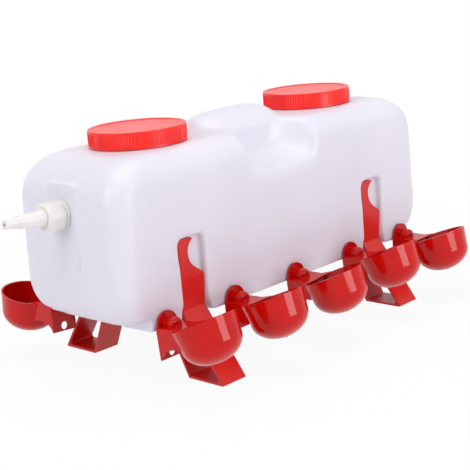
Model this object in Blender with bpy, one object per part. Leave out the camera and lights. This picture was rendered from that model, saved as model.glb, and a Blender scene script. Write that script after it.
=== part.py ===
"""Automatic poultry drinker: a blow moulded tank on four clip-on legs, with ten drinking cups.

The tank's long axis is X with the water inlet at -X, the near row of cups is at -Y and Z is up.
The origin is on the ground under the middle of the whole drinker's outline.
"""

import math

import bmesh
import bpy
from mathutils import Matrix, Vector

MM = 0.001
FIT = 0.3 * MM                  # gap left between pieces that touch or seat on each other
OVERCUT = 2.0 * MM              # how far a cutter reaches past the face that it opens

# Tank
TANK_LENGTH = 478.0 * MM
TANK_WIDTH = 156.0 * MM
TANK_BOTTOM = 60.0 * MM         # height of the tank's underside above the ground
TANK_HEIGHT = 168.0 * MM
TANK_WALL = 2.5 * MM
CORNER_RADIUS = 24.0 * MM       # upright corners, seen from above
END_TOP_RADIUS = 44.0 * MM      # where each end rolls over into the top
END_BOTTOM_RADIUS = 45.0 * MM
SHOULDER_RADIUS = 27.0 * MM     # where each long side rolls over into the top
FLOOR_WIDTH = 84.0 * MM         # flat underside between the two long chamfers
CHAMFER_HEIGHT = 15.0 * MM
END_DRAFT = 2.0                 # degrees that each end wall leans in towards the top

# Filling necks and their screw lids
LID_SPACING = 263.0 * MM
LID_DIAMETER = 100.0 * MM
LID_HEIGHT = 17.0 * MM
LID_LIFT = 0.8 * MM             # gap between a closed lid's skirt and the tank
LID_WALL = 2.2 * MM
LID_RIM_WIDTH = 4.0 * MM
LID_RIM_HEIGHT = 0.9 * MM
LID_GRIP_DEPTH = 0.6 * MM       # room in the skirt for the grip ribs
NECK_WALL = 3.0 * MM
NECK_CLEARANCE = 1.2 * MM       # between the neck's thread crests and the lid's skirt
SEAL_THICKNESS = 1.8 * MM
SEAL_WIDTH = 5.0 * MM

# Handle between the lids, with a hand pocket on each side
HANDLE_LENGTH = 132.0 * MM
HANDLE_WIDTH = 54.0 * MM
HANDLE_HEIGHT = 16.8 * MM
HANDLE_END = 18.0 * MM          # length over which each end of the handle rises
POCKET_TOP_WIDTH = 108.0 * MM
POCKET_BOTTOM_WIDTH = 88.0 * MM
POCKET_DEPTH = 44.0 * MM        # from the tank's top to the pocket's lower lip
POCKET_SLOPE = 19.0 * MM        # how much the pocket's floor falls towards the lip
POCKET_CORNER = 13.0 * MM
GRIP_WALL_SPACING = 48.0 * MM   # across the handle, from one pocket's back wall to the other

# Drinking cups
CUPS_PER_SIDE = 5
CUP_PITCH = 94.6 * MM
CUP_AXIS_HEIGHT = 67.0 * MM     # of the ear and the water boss above the ground
CUP_WIDTH = 30.0 * MM
CUP_PLATE = 2.0 * MM
CUP_PLATE_DROP = 1.0 * MM       # of the top plate below the boss's axis
CUP_REACH = 32.5 * MM           # level top plate, from the gasket to the bowl's opening
CUP_BACK_HEIGHT = 33.0 * MM
CUP_EAR_RADIUS = 13.0 * MM
CUP_BOSS_RADIUS = 9.2 * MM
CUP_BOSS_LENGTH = 18.5 * MM
CUP_WEB_ARCH = 13.0 * MM        # height of the side webs where they reach the bowl
CUP_FIXING_HOLE = 8.5 * MM
CUP_FIXING_DROP = 27.5 * MM
BOWL_RADIUS = 32.2 * MM
BOWL_OFFSET = 22.0 * MM         # along the rim, from the top plate's edge to the bowl's middle
BOWL_DEPTH = 41.5 * MM
BOWL_WALL_DEPTH = 20.0 * MM     # straight part of the bowl under its rim
BOWL_TAPER = 2.2 * MM
BOWL_WALL = 1.9 * MM
BOWL_FACETS = 24
BOWL_TILT = 19.0                # degrees, the rim rises away from the tank
BOWL_SHOULDER = 6.0 * MM        # of the bowl's wall above its rim, where the top plate roofs it
STEM_RISE = 5.6 * MM            # of the threaded stem above the boss's axis
STEM_DIAMETER = 10.0 * MM
STEM_LENGTH = 14.0 * MM
STEM_BORE = 4.8 * MM
SPOUT_DROP = 10.0 * MM          # of the water outlet in the bowl below the boss's axis
GASKET_THICKNESS = 1.2 * MM
GASKET_DIAMETER = 14.0 * MM
STEM_CLEARANCE = 1.0 * MM
CUP_NUT_WIDTH = 15.0 * MM
CUP_NUT_THICKNESS = 5.0 * MM
SEAT_WIDTH = 36.0 * MM          # block with a flat seat that the tank has behind each cup
SEAT_HEIGHT = 17.0 * MM         # of the seat's top above the stem's axis
SEAT_RISE = 1.2 * MM            # of the block's lower outer edge above the tank's underside
SEAT_PROUD = 0.3 * MM
NEAR_CUP_LEAN = 1.0             # degrees that the near cups tip up on their soft gaskets
FAR_CUP_LEAN = -6.0
NEAR_CUP_ROLL = (3.5, 2.0, 5.0, 4.5, 1.5)   # degrees, as the hand-tightened cups stand
FAR_CUP_ROLL = (-4.0, 1.0, -2.0, 0.0, 2.0)

# Clip-on legs
LEG_SPACING = 288.6 * MM
LEG_WIDTH = 31.2 * MM
LEG_PLATE = 2.6 * MM
STRAP_TOP = 140.5 * MM
STRAP_BEND = 101.0 * MM
STRAP_FOOT = 69.0 * MM          # height where the strap turns out into the leg
STRAP_INSET = 3.3 * MM          # of the strap's face behind the tank's side
STRAP_LEAN = 2.6 * MM           # of the strap's lower end behind its upper part
FOOT_OUTER = 121.3 * MM         # from the tank's middle plane to the foot's outer edge
FOOT_INNER = 72.1 * MM
HOOK_RADIUS = 19.0 * MM
HOOK_HEIGHT = 125.5 * MM
HOOK_FINGER = 12.0 * MM
SHOULDER_FILLET = 6.0 * MM
SHOULDER_SLOPE = 35.0           # degrees, from the hook down to the strap's edge
FOOT_FILLET = 1.2 * MM
TUBE_FILLET = 2.5 * MM
CHANNEL_MARGIN = 1.6 * MM       # beside the strap
CHANNEL_FLARE = 2.5 * MM

# Water inlet and float valve
INLET_HEIGHT = 177.0 * MM
INLET_TILT = 4.0                # degrees that the inlet points up
PAD_WIDTH = 41.0 * MM
PAD_ABOVE = 30.0 * MM           # the inlet's axis
PAD_BELOW = 55.0 * MM
PAD_RAISE = 1.0 * MM            # over the end wall at the inlet's height
PAD_DRAFT = 2.0 * MM
SHANK_DIAMETER = 20.0 * MM
SHANK_CLEARANCE = 0.5 * MM
WATERWAY = 6.0 * MM
LOCK_RING_DIAMETER = 31.0 * MM
LOCK_RING_THICKNESS = 3.2 * MM
INLET_NUT_WIDTH = 26.0 * MM
INLET_NUT_LENGTH = 19.0 * MM
INLET_NUT_LIP = 2.1 * MM
INLET_THREAD_LENGTH = 10.2 * MM  # of the shank inside the union nut
HOSE_WASHER_THICKNESS = 1.8 * MM
COLLAR_DIAMETER = 19.4 * MM
NOZZLE_BASE = 15.8 * MM
NOZZLE_TIP = 9.6 * MM
NOZZLE_LENGTH = 43.7 * MM       # from the union nut to the tip
VALVE_GASKET_THICKNESS = 2.0 * MM
VALVE_FLANGE_DIAMETER = 30.0 * MM
VALVE_FLANGE_THICKNESS = 3.0 * MM
CHAMBER_DIAMETER = 22.0 * MM
CHAMBER_BORE = 13.0 * MM
CHAMBER_LENGTH = 24.0 * MM
SEAT_RING_HEIGHT = 1.5 * MM
PLUNGER_LENGTH = 22.0 * MM
PLUNGER_TAIL = 9.0 * MM         # its slimmer end, which the arm pushes
TAIL_DIAMETER = 5.0 * MM
VALVE_SEAL_THICKNESS = 2.0 * MM
PIVOT_DROP = 8.0 * MM           # of the arm's pin below the plunger's axis
PIN_DIAMETER = 3.0 * MM
ARM_HEAD_RADIUS = 4.6 * MM
ARM_FINGER = 3.0 * MM           # width of the finger that pushes the plunger
ARM_SWING = 30.0                # degrees from an empty tank to a closed valve
CHEEK_THICKNESS = 3.0 * MM
ARM_WIDTH = 8.0 * MM
ARM_LENGTH = 82.0 * MM
ARM_THICKNESS = 5.0 * MM
FLOAT_DIAMETER = 46.0 * MM
FLOAT_HEIGHT = 38.0 * MM
FLOAT_WALL = 1.8 * MM
FLOAT_PEG = 6.0 * MM

# Values that follow from the sizes above
HALF_LENGTH = TANK_LENGTH / 2
HALF_WIDTH = TANK_WIDTH / 2
TANK_TOP = TANK_BOTTOM + TANK_HEIGHT
CHAMFER_TOP = TANK_BOTTOM + CHAMFER_HEIGHT
LID_BOTTOM = TANK_TOP + LID_LIFT
LID_TOP = LID_BOTTOM + LID_HEIGHT
LID_ROOF = LID_TOP - LID_RIM_HEIGHT - LID_WALL
NECK_TOP = LID_ROOF - SEAL_THICKNESS - 2 * FIT
NECK_RADIUS = LID_DIAMETER / 2 - LID_GRIP_DEPTH - LID_WALL - NECK_CLEARANCE
STRAP_FACE = HALF_WIDTH - STRAP_INSET


def build_material(name, colour, roughness, metallic=0.0):
    """Plain Principled material in linear colour."""
    material = bpy.data.materials.new(name)
    material.use_nodes = True
    shader = material.node_tree.nodes["Principled BSDF"]
    shader.inputs["Base Color"].default_value = (*colour, 1.0)
    shader.inputs["Roughness"].default_value = roughness
    shader.inputs["Metallic"].default_value = metallic
    material.diffuse_color = (*colour, 1.0)
    return material


def add_object(name, bm, material=None):
    """Turn a bmesh into an object with outward faces and smooth round parts."""
    bmesh.ops.recalc_face_normals(bm, faces=bm.faces)
    mesh = bpy.data.meshes.new(name)
    bm.to_mesh(mesh)
    bm.free()
    mesh.shade_smooth()
    mesh.set_sharp_from_angle(angle=math.radians(35))
    if material:
        mesh.materials.append(material)
    piece = bpy.data.objects.new(name, mesh)
    bpy.context.collection.objects.link(piece)
    return piece


def combine(target, tool, operation):
    """Apply one exact Boolean of a tool object to a target, and drop the tool."""
    modifier = target.modifiers.new("combine", "BOOLEAN")
    modifier.operation = operation
    modifier.solver = "EXACT"
    modifier.object = tool
    bpy.context.view_layer.update()
    evaluated = target.evaluated_get(bpy.context.evaluated_depsgraph_get())
    result = bpy.data.meshes.new_from_object(evaluated)
    target.modifiers.clear()
    old = target.data
    target.data = result
    result.name = old.name
    bpy.data.meshes.remove(old)
    bpy.data.objects.remove(tool)


def cut(target, tool):
    combine(target, tool, "DIFFERENCE")


def join(target, tool):
    combine(target, tool, "UNION")


def loft(sections):
    """Skin through closed sections with equal point counts, with flat end caps."""
    bm = bmesh.new()
    loops = [[bm.verts.new(point) for point in section] for section in sections]
    count = len(loops[0])
    for lower, upper in zip(loops, loops[1:]):
        for i in range(count):
            j = (i + 1) % count
            bm.faces.new((lower[i], lower[j], upper[j], upper[i]))
    ends = [bm.faces.new(loops[0]), bm.faces.new(loops[-1])]
    bmesh.ops.triangulate(bm, faces=[face for face in bm.faces if face not in ends])
    return bm


def extrude(outline, start, end, place):
    """Prism of a 2-D outline; place(u, v, w) gives the 3-D point at depth w."""
    return loft([[place(u, v, w) for u, v in outline] for w in (start, end)])


def along_x(u, v, w):
    return (w, u, v)


def along_y(u, v, w):
    return (u, w, v)


def along_z(u, v, w):
    return (u, v, w)


def arc(centre, radius, start, end, steps):
    """Points on an arc, angles in degrees."""
    points = []
    for i in range(steps + 1):
        angle = math.radians(start + (end - start) * i / steps)
        points.append((centre[0] + radius * math.cos(angle), centre[1] + radius * math.sin(angle)))
    return points


def rounded(corners, steps=4):
    """Outline through (u, v, radius) corners, each rounded by its own radius."""
    outline = []
    count = len(corners)
    for i, (u, v, radius) in enumerate(corners):
        point = Vector((u, v))
        if radius <= 0:
            outline.append((u, v))
            continue
        before = (Vector(corners[i - 1][:2]) - point).normalized()
        after = (Vector(corners[(i + 1) % count][:2]) - point).normalized()
        half = before.angle(after) / 2
        centre = point + (before + after).normalized() * (radius / math.sin(half))
        first = point + before * (radius / math.tan(half)) - centre
        last = point + after * (radius / math.tan(half)) - centre
        sweep = first.angle_signed(last)
        for k in range(steps + 1):
            turned = Matrix.Rotation(-sweep * k / steps, 2) @ first
            outline.append(tuple(centre + turned))
    return outline


def ring(half_length, half_width, radius, height, steps):
    """Rounded rectangle lying level, as one section of the tank."""
    corners = [(half_length, half_width, radius), (-half_length, half_width, radius),
               (-half_length, -half_width, radius), (half_length, -half_width, radius)]
    return [(x, y, height) for x, y in rounded(corners, steps)]


def revolve(profile, segments, phase=0.0):
    """Turn a closed (radius, height) profile about Z; points at radius 0 close on the axis."""
    bm = bmesh.new()
    rows = []
    for radius, height in profile:
        if radius < 1e-9:
            rows.append([bm.verts.new((0, 0, height))])
            continue
        angles = [2 * math.pi * (k + phase) / segments for k in range(segments)]
        rows.append([bm.verts.new((radius * math.cos(a), radius * math.sin(a), height)) for a in angles])
    for row, following in zip(rows, rows[1:] + rows[:1]):
        if len(row) == 1 and len(following) == 1:
            continue
        for k in range(segments):
            n = (k + 1) % segments
            corners = [row[k % len(row)], following[k % len(following)],
                       following[n % len(following)], row[n % len(row)]]
            bm.faces.new(list(dict.fromkeys(corners)))
    return bm


def cylinder(radius, start, end, segments):
    return revolve([(0, end), (radius, end), (radius, start), (0, start)], segments)


def drill(radius, start, end, segments):
    """Round cutter, turned a little so that its facets don't line up with those that it cuts."""
    return revolve([(0, end), (radius, end), (radius, start), (0, start)], segments, 0.37)


def tube(outer, inner, start, end, segments):
    return revolve([(inner, end), (outer, end), (outer, start), (inner, start)], segments)


def moved(bm, matrix):
    bmesh.ops.transform(bm, matrix=matrix, verts=bm.verts)
    return bm


def aim(origin, direction):
    """Matrix that carries +Z onto a direction from an origin."""
    return Matrix.Translation(origin) @ Vector(direction).to_track_quat("Z", "Y").to_matrix().to_4x4()


def inset(corners, distance):
    """Move every edge of a convex polygon inwards, keeping each corner's radius."""
    middle = sum((Vector(c[:2]) for c in corners), Vector((0, 0))) / len(corners)
    edges = []
    for a, b in zip(corners, corners[1:] + corners[:1]):
        start = Vector(a[:2])
        along = (Vector(b[:2]) - start).normalized()
        inward = Vector((-along.y, along.x))
        if inward.dot(middle - start) < 0:
            inward = -inward
        edges.append((start + inward * distance, along))
    result = []
    for (p, d), (q, e), corner in zip(edges[-1:] + edges[:-1], edges, corners):
        step = (q - p).cross(e) / d.cross(e)
        meeting = p + d * step
        result.append((meeting.x, meeting.y, corner[2]))
    return result


def end_reach(height):
    """Half of the tank's length at a height: draft, and the rolls at top and bottom."""
    draft = max(0.0, height - (TANK_BOTTOM + END_BOTTOM_RADIUS)) * math.tan(math.radians(END_DRAFT))
    return HALF_LENGTH - draft - roll(height, END_TOP_RADIUS, END_BOTTOM_RADIUS)


def side_reach(height):
    """Half of the tank's width at a height: the top shoulder and the long chamfer below."""
    chamfer = max(0.0, CHAMFER_TOP - height) / CHAMFER_HEIGHT * (HALF_WIDTH - FLOOR_WIDTH / 2)
    return HALF_WIDTH - chamfer - roll(height, SHOULDER_RADIUS, 0.0)


def roll(height, top_radius, bottom_radius):
    """How far a face has turned in where it rolls over into the top or the bottom."""
    over = max(0.0, height - (TANK_TOP - top_radius))
    under = max(0.0, TANK_BOTTOM + bottom_radius - height)
    top = top_radius - math.sqrt(max(0.0, top_radius ** 2 - over ** 2))
    return top + bottom_radius - math.sqrt(max(0.0, bottom_radius ** 2 - under ** 2))


def tank_heights():
    """Heights of the tank's sections, close together where its faces roll over."""
    heights = [TANK_BOTTOM + END_BOTTOM_RADIUS * (1 - math.cos(math.radians(a))) for a in (0, 20, 45, 90)]
    heights.append(CHAMFER_TOP)
    for radius in (END_TOP_RADIUS, SHOULDER_RADIUS):
        heights += [TANK_TOP - radius * (1 - math.sin(math.radians(a))) for a in (0, 30, 60, 90)]
    return sorted(set(round(h, 6) for h in heights))


def tank_block(wall):
    """The plain tank, or with a wall thickness the space inside it."""
    sections = []
    for height in tank_heights():
        level = min(max(height, TANK_BOTTOM + wall), TANK_TOP - wall)
        sections.append(ring(end_reach(height) - wall, side_reach(height) - wall,
                             CORNER_RADIUS - wall, level, 4))
    levels = [section[0][2] for section in sections]
    kept = [s for s, z, before in zip(sections, levels, [-1.0] + levels[:-1]) if z - before > 1e-6]
    return add_object("tank", loft(kept))


def handle_block(wall):
    """The raised handle on the tank's top."""
    sections = [ring(HANDLE_LENGTH / 2 - wall, HANDLE_WIDTH / 2 - wall, 9 * MM, TANK_TOP - 3 * wall - MM, 4)]
    for angle in (0, 30, 55, 80):
        turn = math.radians(angle)
        back = 1 - math.cos(turn)
        sections.append(ring(HANDLE_LENGTH / 2 - wall - HANDLE_END * back,
                             HANDLE_WIDTH / 2 - wall - HANDLE_END * back / 2, 9 * MM,
                             TANK_TOP + (HANDLE_HEIGHT - wall) * math.sin(turn), 4))
    last = sections[-1]
    sections.append([(x * 0.93, y * 0.86, TANK_TOP + HANDLE_HEIGHT - wall) for x, y, z in last])
    return add_object("handle", loft(sections))


def pocket_block(side, wall):
    """Space of one hand pocket; with a wall thickness it is that much larger."""
    sections = []
    back = GRIP_WALL_SPACING / 2 - wall
    for reach in (back, HALF_WIDTH + OVERCUT):
        fall = POCKET_SLOPE * (reach - back) / (HALF_WIDTH - back)
        floor = TANK_TOP - POCKET_DEPTH + POCKET_SLOPE - fall - wall
        corners = [(-POCKET_BOTTOM_WIDTH / 2 - wall, floor, POCKET_CORNER),
                   (POCKET_BOTTOM_WIDTH / 2 + wall, floor, POCKET_CORNER),
                   (POCKET_TOP_WIDTH / 2 + wall, TANK_TOP, 0),
                   (POCKET_TOP_WIDTH / 2 + wall, TANK_TOP + HANDLE_HEIGHT + OVERCUT, 0),
                   (-POCKET_TOP_WIDTH / 2 - wall, TANK_TOP + HANDLE_HEIGHT + OVERCUT, 0),
                   (-POCKET_TOP_WIDTH / 2 - wall, TANK_TOP, 0)]
        sections.append([(x, side * reach, z) for x, z in rounded(corners, 4)])
    return add_object("pocket", loft(sections))


def channel_block(side, centre, wall):
    """Space that the tank leaves for one leg's strap, open at the bottom."""
    back = STRAP_FACE - STRAP_LEAN - LEG_PLATE - FIT
    sections = []
    steps = ((back - wall, 0.0), (HALF_WIDTH - 2 * MM, 0.0), (HALF_WIDTH + OVERCUT, CHANNEL_FLARE))
    for reach, flare in steps:
        half = LEG_WIDTH / 2 + CHANNEL_MARGIN + wall + flare
        top = STRAP_TOP + CHANNEL_MARGIN + wall + flare / 2
        corners = [(centre - half, TANK_BOTTOM - 9 * MM, 0), (centre + half, TANK_BOTTOM - 9 * MM, 0),
                   (centre + half, top, 5 * MM), (centre - half, top, 5 * MM)]
        sections.append([(x, side * reach, z) for x, z in rounded(corners, 2)])
    return add_object("channel", loft(sections))


def seat_block(side, centre, wall):
    """Block with the flat seat behind one cup, filling the long chamfer."""
    reach = HALF_WIDTH + SEAT_PROUD - wall
    inner = FLOOR_WIDTH / 2 - 6 * MM - wall
    soft = 1.5 * MM
    outline = [(inner, TANK_BOTTOM + 0.5 * MM + wall), (reach - soft, TANK_BOTTOM + SEAT_RISE + wall),
               (reach, TANK_BOTTOM + SEAT_RISE + wall + soft), (reach, CUP_AXIS_HEIGHT + SEAT_HEIGHT - wall),
               (inner, CUP_AXIS_HEIGHT + SEAT_HEIGHT - wall)]
    width = SEAT_WIDTH / 2 - wall
    return add_object("seat", extrude([(side * y, z) for y, z in outline], centre - width,
                                      centre + width, along_x))


def inlet_frame():
    """Frame on the middle of the inlet hole, with +Z pointing out along the inlet."""
    tilt = math.radians(INLET_TILT)
    reach = end_reach(INLET_HEIGHT) + PAD_RAISE
    turn = Matrix.Rotation(-math.pi / 2 + tilt, 4, "Y")
    return Matrix.Translation((-reach, 0, INLET_HEIGHT)) @ turn


def pad_block(wall):
    """Flat pad round the inlet, square to the inlet's axis."""
    tilt = math.cos(math.radians(INLET_TILT))
    upper = PAD_ABOVE / tilt - wall
    lower = -PAD_BELOW / tilt + wall
    half = PAD_WIDTH / 2 - wall
    sections = []
    for depth, spread in ((-16 * MM, PAD_DRAFT), (-wall - 0.8 * MM, 0.0), (-wall, -0.6 * MM)):
        corners = [(lower - spread, -half - spread, 5 * MM), (upper + spread, -half - spread, 5 * MM),
                   (upper + spread, half + spread, 5 * MM), (lower - spread, half + spread, 5 * MM)]
        sections.append([(u, v, depth) for u, v in rounded(corners, 2)])
    return add_object("pad", moved(loft(sections), inlet_frame()))


def cup_centres():
    middle = (CUPS_PER_SIDE - 1) / 2
    return [(i - middle) * CUP_PITCH for i in range(CUPS_PER_SIDE)]


def tank_form(wall):
    """The whole tank as a solid, or with a wall thickness the space inside it."""
    form = tank_block(wall)
    join(form, handle_block(wall))
    join(form, pad_block(wall))
    for side in (-1, 1):
        for centre in cup_centres():
            join(form, seat_block(side, centre, wall))
    for side in (-1, 1):
        cut(form, pocket_block(side, wall))
        for centre in (-LEG_SPACING / 2, LEG_SPACING / 2):
            cut(form, channel_block(side, centre, wall))
    return form


def build_tank(material):
    tank = tank_form(0.0)
    for centre in (-LID_SPACING / 2, LID_SPACING / 2):
        place = Matrix.Translation((centre, 0, 0))
        soft = 0.8 * MM
        neck = revolve([(0, NECK_TOP), (NECK_RADIUS - soft, NECK_TOP), (NECK_RADIUS, NECK_TOP - soft),
                        (NECK_RADIUS, TANK_TOP - MM), (0, TANK_TOP - MM)], 40)
        join(tank, add_object("neck", moved(neck, place)))
    cut(tank, tank_form(TANK_WALL))
    for centre in (-LID_SPACING / 2, LID_SPACING / 2):
        hole = drill(NECK_RADIUS - NECK_WALL, TANK_TOP - 2 * TANK_WALL, NECK_TOP + OVERCUT, 40)
        cut(tank, add_object("hole", moved(hole, Matrix.Translation((centre, 0, 0)))))
    for side in (-1, 1):
        for centre in cup_centres():
            hole = drill(STEM_DIAMETER / 2 + STEM_CLEARANCE, -3 * TANK_WALL, OVERCUT, 12)
            place = aim((centre, side * HALF_WIDTH, CUP_AXIS_HEIGHT + STEM_RISE), (0, side, 0))
            cut(tank, add_object("hole", moved(hole, place)))
    hole = drill(SHANK_DIAMETER / 2 + SHANK_CLEARANCE, -3 * TANK_WALL, OVERCUT, 20)
    cut(tank, add_object("hole", moved(hole, inlet_frame())))
    return finish(tank, "tank", material)


def finish(piece, name, material, place=None):
    """Merge stray points, name a finished piece, give it its material and put it in place."""
    bm = bmesh.new()
    bm.from_mesh(piece.data)
    bmesh.ops.remove_doubles(bm, verts=bm.verts, dist=0.004 * MM)
    bmesh.ops.dissolve_degenerate(bm, edges=bm.edges, dist=0.004 * MM)
    bmesh.ops.dissolve_limit(bm, angle_limit=math.radians(0.3), verts=bm.verts, edges=bm.edges)
    bmesh.ops.triangulate(bm, faces=bm.faces)
    bm.to_mesh(piece.data)
    bm.free()
    piece.data.shade_smooth()
    piece.data.set_sharp_from_angle(angle=math.radians(35))
    piece.data.materials.clear()
    piece.data.materials.append(material)
    piece.name = name
    piece.data.name = name
    if place is not None:
        piece.matrix_world = place
    return piece


def build_lid(name, centre, material):
    """Cap with a tapered skirt and a raised rim."""
    radius = LID_DIAMETER / 2
    draft = 1.4 * MM
    soft = 0.9 * MM
    inner = radius - LID_GRIP_DEPTH - LID_WALL
    height = LID_TOP - LID_BOTTOM
    roof = LID_ROOF - LID_BOTTOM
    floor = height - LID_RIM_HEIGHT
    profile = [(0, floor), (radius - LID_RIM_WIDTH - soft, floor), (radius - LID_RIM_WIDTH, height),
               (radius - soft, height), (radius, height - soft), (radius - draft, 0),
               (inner - draft / 2, 0), (inner, roof), (0, roof)]
    lid = add_object(name, revolve(profile, 40))
    return finish(lid, name, material, Matrix.Translation((centre, 0, LID_BOTTOM)))


def build_seal(name, centre, material):
    seal = tube(NECK_RADIUS - 0.3 * MM, NECK_RADIUS - SEAL_WIDTH, 0, SEAL_THICKNESS, 28)
    place = Matrix.Translation((centre, 0, NECK_TOP + FIT))
    return finish(add_object(name, seal), name, material, place)


def bowl_profile(wall):
    """Outer outline of the bowl, or with a wall thickness its inside, from above the rim to the bottom."""
    reach = BOWL_RADIUS - wall
    foot = BOWL_RADIUS - BOWL_TAPER - wall
    belly = BOWL_DEPTH - BOWL_WALL_DEPTH
    above = BOWL_SHOULDER + (OVERCUT if wall else 0.0)
    points = [(0, above), (reach, above), (reach, 0), (foot, -BOWL_WALL_DEPTH)]
    for angle in (30, 60):
        turn = math.radians(angle)
        points.append((foot * math.cos(turn), -BOWL_WALL_DEPTH - (belly - wall) * math.sin(turn)))
    points.append((0, -BOWL_DEPTH + wall))
    return points


def build_cup(name, place, material):
    """One moulding: bowl, bracket, ear, boss and stem; +Y points away from the tank."""
    tilt = math.radians(BOWL_TILT)
    half = CUP_WIDTH / 2
    top = -CUP_PLATE_DROP
    foot = -CUP_BACK_HEIGHT
    roof = top - 0.1 * MM
    rim = (0, CUP_REACH + BOWL_OFFSET * math.cos(tilt), roof + BOWL_OFFSET * math.sin(tilt))
    bowl_place = Matrix.Translation(rim) @ Matrix.Rotation(tilt, 4, "X")
    cup = add_object(name, moved(revolve(bowl_profile(0.0), BOWL_FACETS), bowl_place))
    far = 3 * BOWL_RADIUS
    outer = CUP_REACH + far * math.cos(tilt)
    open_air = [(-far, roof), (CUP_REACH, roof), (outer, roof + far * math.sin(tilt)), (outer, far),
                (-far, far)]
    cut(cup, add_object("open_air", extrude(open_air, -far, far, along_x)))
    reach = CUP_REACH + 2 * MM
    arch_top = top - CUP_WEB_ARCH
    span = CUP_REACH - 8 * MM
    arch = [(CUP_PLATE + span * (1 - math.cos(math.radians(a))),
             foot + (arch_top - foot) * math.sin(math.radians(a))) for a in (0, 30, 60, 95)]
    side_view = [(0, top), (0, foot)] + arch + [(reach, arch[-1][1]), (reach, top)]
    bracket = add_object("bracket", extrude(side_view, -half, half, along_x))
    room = [(CUP_PLATE, top - CUP_PLATE), (CUP_PLATE, foot - OVERCUT), (reach + OVERCUT, foot - OVERCUT),
            (reach + OVERCUT, top - CUP_PLATE)]
    cut(bracket, add_object("room", extrude(room, CUP_PLATE - half, half - CUP_PLATE, along_x)))
    join(cup, bracket)
    ear = arc((0, 0), CUP_EAR_RADIUS, 0, 180, 10) + [(-CUP_EAR_RADIUS, top - MM), (CUP_EAR_RADIUS, top - MM)]
    join(cup, add_object("ear", extrude(ear, 0, CUP_PLATE, along_y)))
    blunt = CUP_BOSS_RADIUS * 0.75
    boss = [(CUP_BOSS_RADIUS * math.cos(math.radians(a)),
             CUP_BOSS_LENGTH - blunt + blunt * math.sin(math.radians(a))) for a in (0, 45)]
    outward = aim((0, 0, 0), (0, 1, 0))
    boss = [(0, CUP_BOSS_LENGTH)] + boss[::-1] + [(CUP_BOSS_RADIUS, CUP_PLATE / 2), (0, CUP_PLATE / 2)]
    join(cup, add_object("boss", moved(revolve(boss, 12), outward)))
    stem_place = aim((0, 0, STEM_RISE), (0, 1, 0))
    stem = cylinder(STEM_DIAMETER / 2, -STEM_LENGTH, CUP_PLATE * 0.7, 12)
    join(cup, add_object("stem", moved(stem, stem_place)))
    wall = CUP_PLATE * 0.8
    bend = CUP_BOSS_LENGTH / 2
    spout_start = Vector((0, bend, top - wall - STEM_BORE / 2 - FIT))
    spout_end = Vector((0, CUP_REACH, -SPOUT_DROP))
    spout = aim(spout_start, spout_end - spout_start)
    length = (spout_end - spout_start).length
    duct = cylinder(STEM_BORE / 2 + wall, 0, length, 8)
    join(cup, add_object("duct", moved(duct, spout)))
    inside = add_object("inside", moved(revolve(bowl_profile(BOWL_WALL), BOWL_FACETS), bowl_place))
    shelf = [(-far, roof - BOWL_WALL), (CUP_REACH, roof - BOWL_WALL), (CUP_REACH, far), (-far, far)]
    cut(inside, add_object("shelf", extrude(shelf, -far, far, along_x)))
    cut(cup, inside)
    passage = drill(STEM_BORE / 2, -STEM_LENGTH - OVERCUT, bend + STEM_BORE * 0.6, 8)
    cut(cup, add_object("passage", moved(passage, stem_place)))
    drop = drill(STEM_BORE * 0.45, spout_start.z - MM, STEM_RISE, 8)
    cut(cup, add_object("drop", moved(drop, Matrix.Translation((0, bend, 0)))))
    outlet = drill(STEM_BORE * 0.47, -0.7 * MM, length + OVERCUT, 8)
    cut(cup, add_object("outlet", moved(outlet, spout)))
    hole = drill(CUP_FIXING_HOLE / 2, -OVERCUT, CUP_PLATE + OVERCUT, 10)
    cut(cup, add_object("hole", moved(hole, aim((0, 0, -CUP_FIXING_DROP), (0, 1, 0)))))
    return finish(cup, name, material, place)


def lean_room(lean):
    """Room that a leaning cup's gasket or nut needs towards the tank's wall."""
    return (STEM_RISE + GASKET_DIAMETER / 2 + MM) * math.sin(math.radians(abs(lean)))


def cup_place(side, centre, lean, roll_angle):
    """Frame of one cup on its stem, +Y away from the tank."""
    reach = HALF_WIDTH + SEAT_PROUD + lean_room(lean) + GASKET_THICKNESS + 2 * FIT
    place = Matrix.Translation((centre, side * reach, CUP_AXIS_HEIGHT))
    turned = Matrix.Rotation(0.0 if side > 0 else math.pi, 4, "Z")
    rolled = Matrix.Rotation(math.radians(-side * roll_angle), 4, "Y")
    return place @ turned @ Matrix.Rotation(math.radians(lean), 4, "X") @ rolled


def build_gasket(name, place, material):
    gasket = tube(GASKET_DIAMETER / 2, STEM_DIAMETER / 2 + FIT, -GASKET_THICKNESS - FIT, -FIT, 12)
    on_stem = aim((0, 0, STEM_RISE), (0, 1, 0))
    return finish(add_object(name, moved(gasket, on_stem)), name, material, place)


def hexagon(width):
    radius = width / math.sqrt(3)
    angles = [math.radians(60 * k) for k in range(6)]
    return [(radius * math.cos(a), radius * math.sin(a)) for a in angles]


def build_cup_nut(name, place, lean, material):
    """Lock nut inside the tank, on the cup's stem."""
    face = -(2 * lean_room(lean) + GASKET_THICKNESS + 5 * FIT + TANK_WALL)
    nut = add_object(name, extrude(hexagon(CUP_NUT_WIDTH), face - CUP_NUT_THICKNESS, face, along_z))
    bore = drill(STEM_DIAMETER / 2 + 2 * FIT, face - 2 * CUP_NUT_THICKNESS, OVERCUT, 12)
    cut(nut, add_object("bore", bore))
    nut.data.transform(aim((0, 0, STEM_RISE), (0, 1, 0)))
    return finish(nut, name, material, place)


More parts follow.
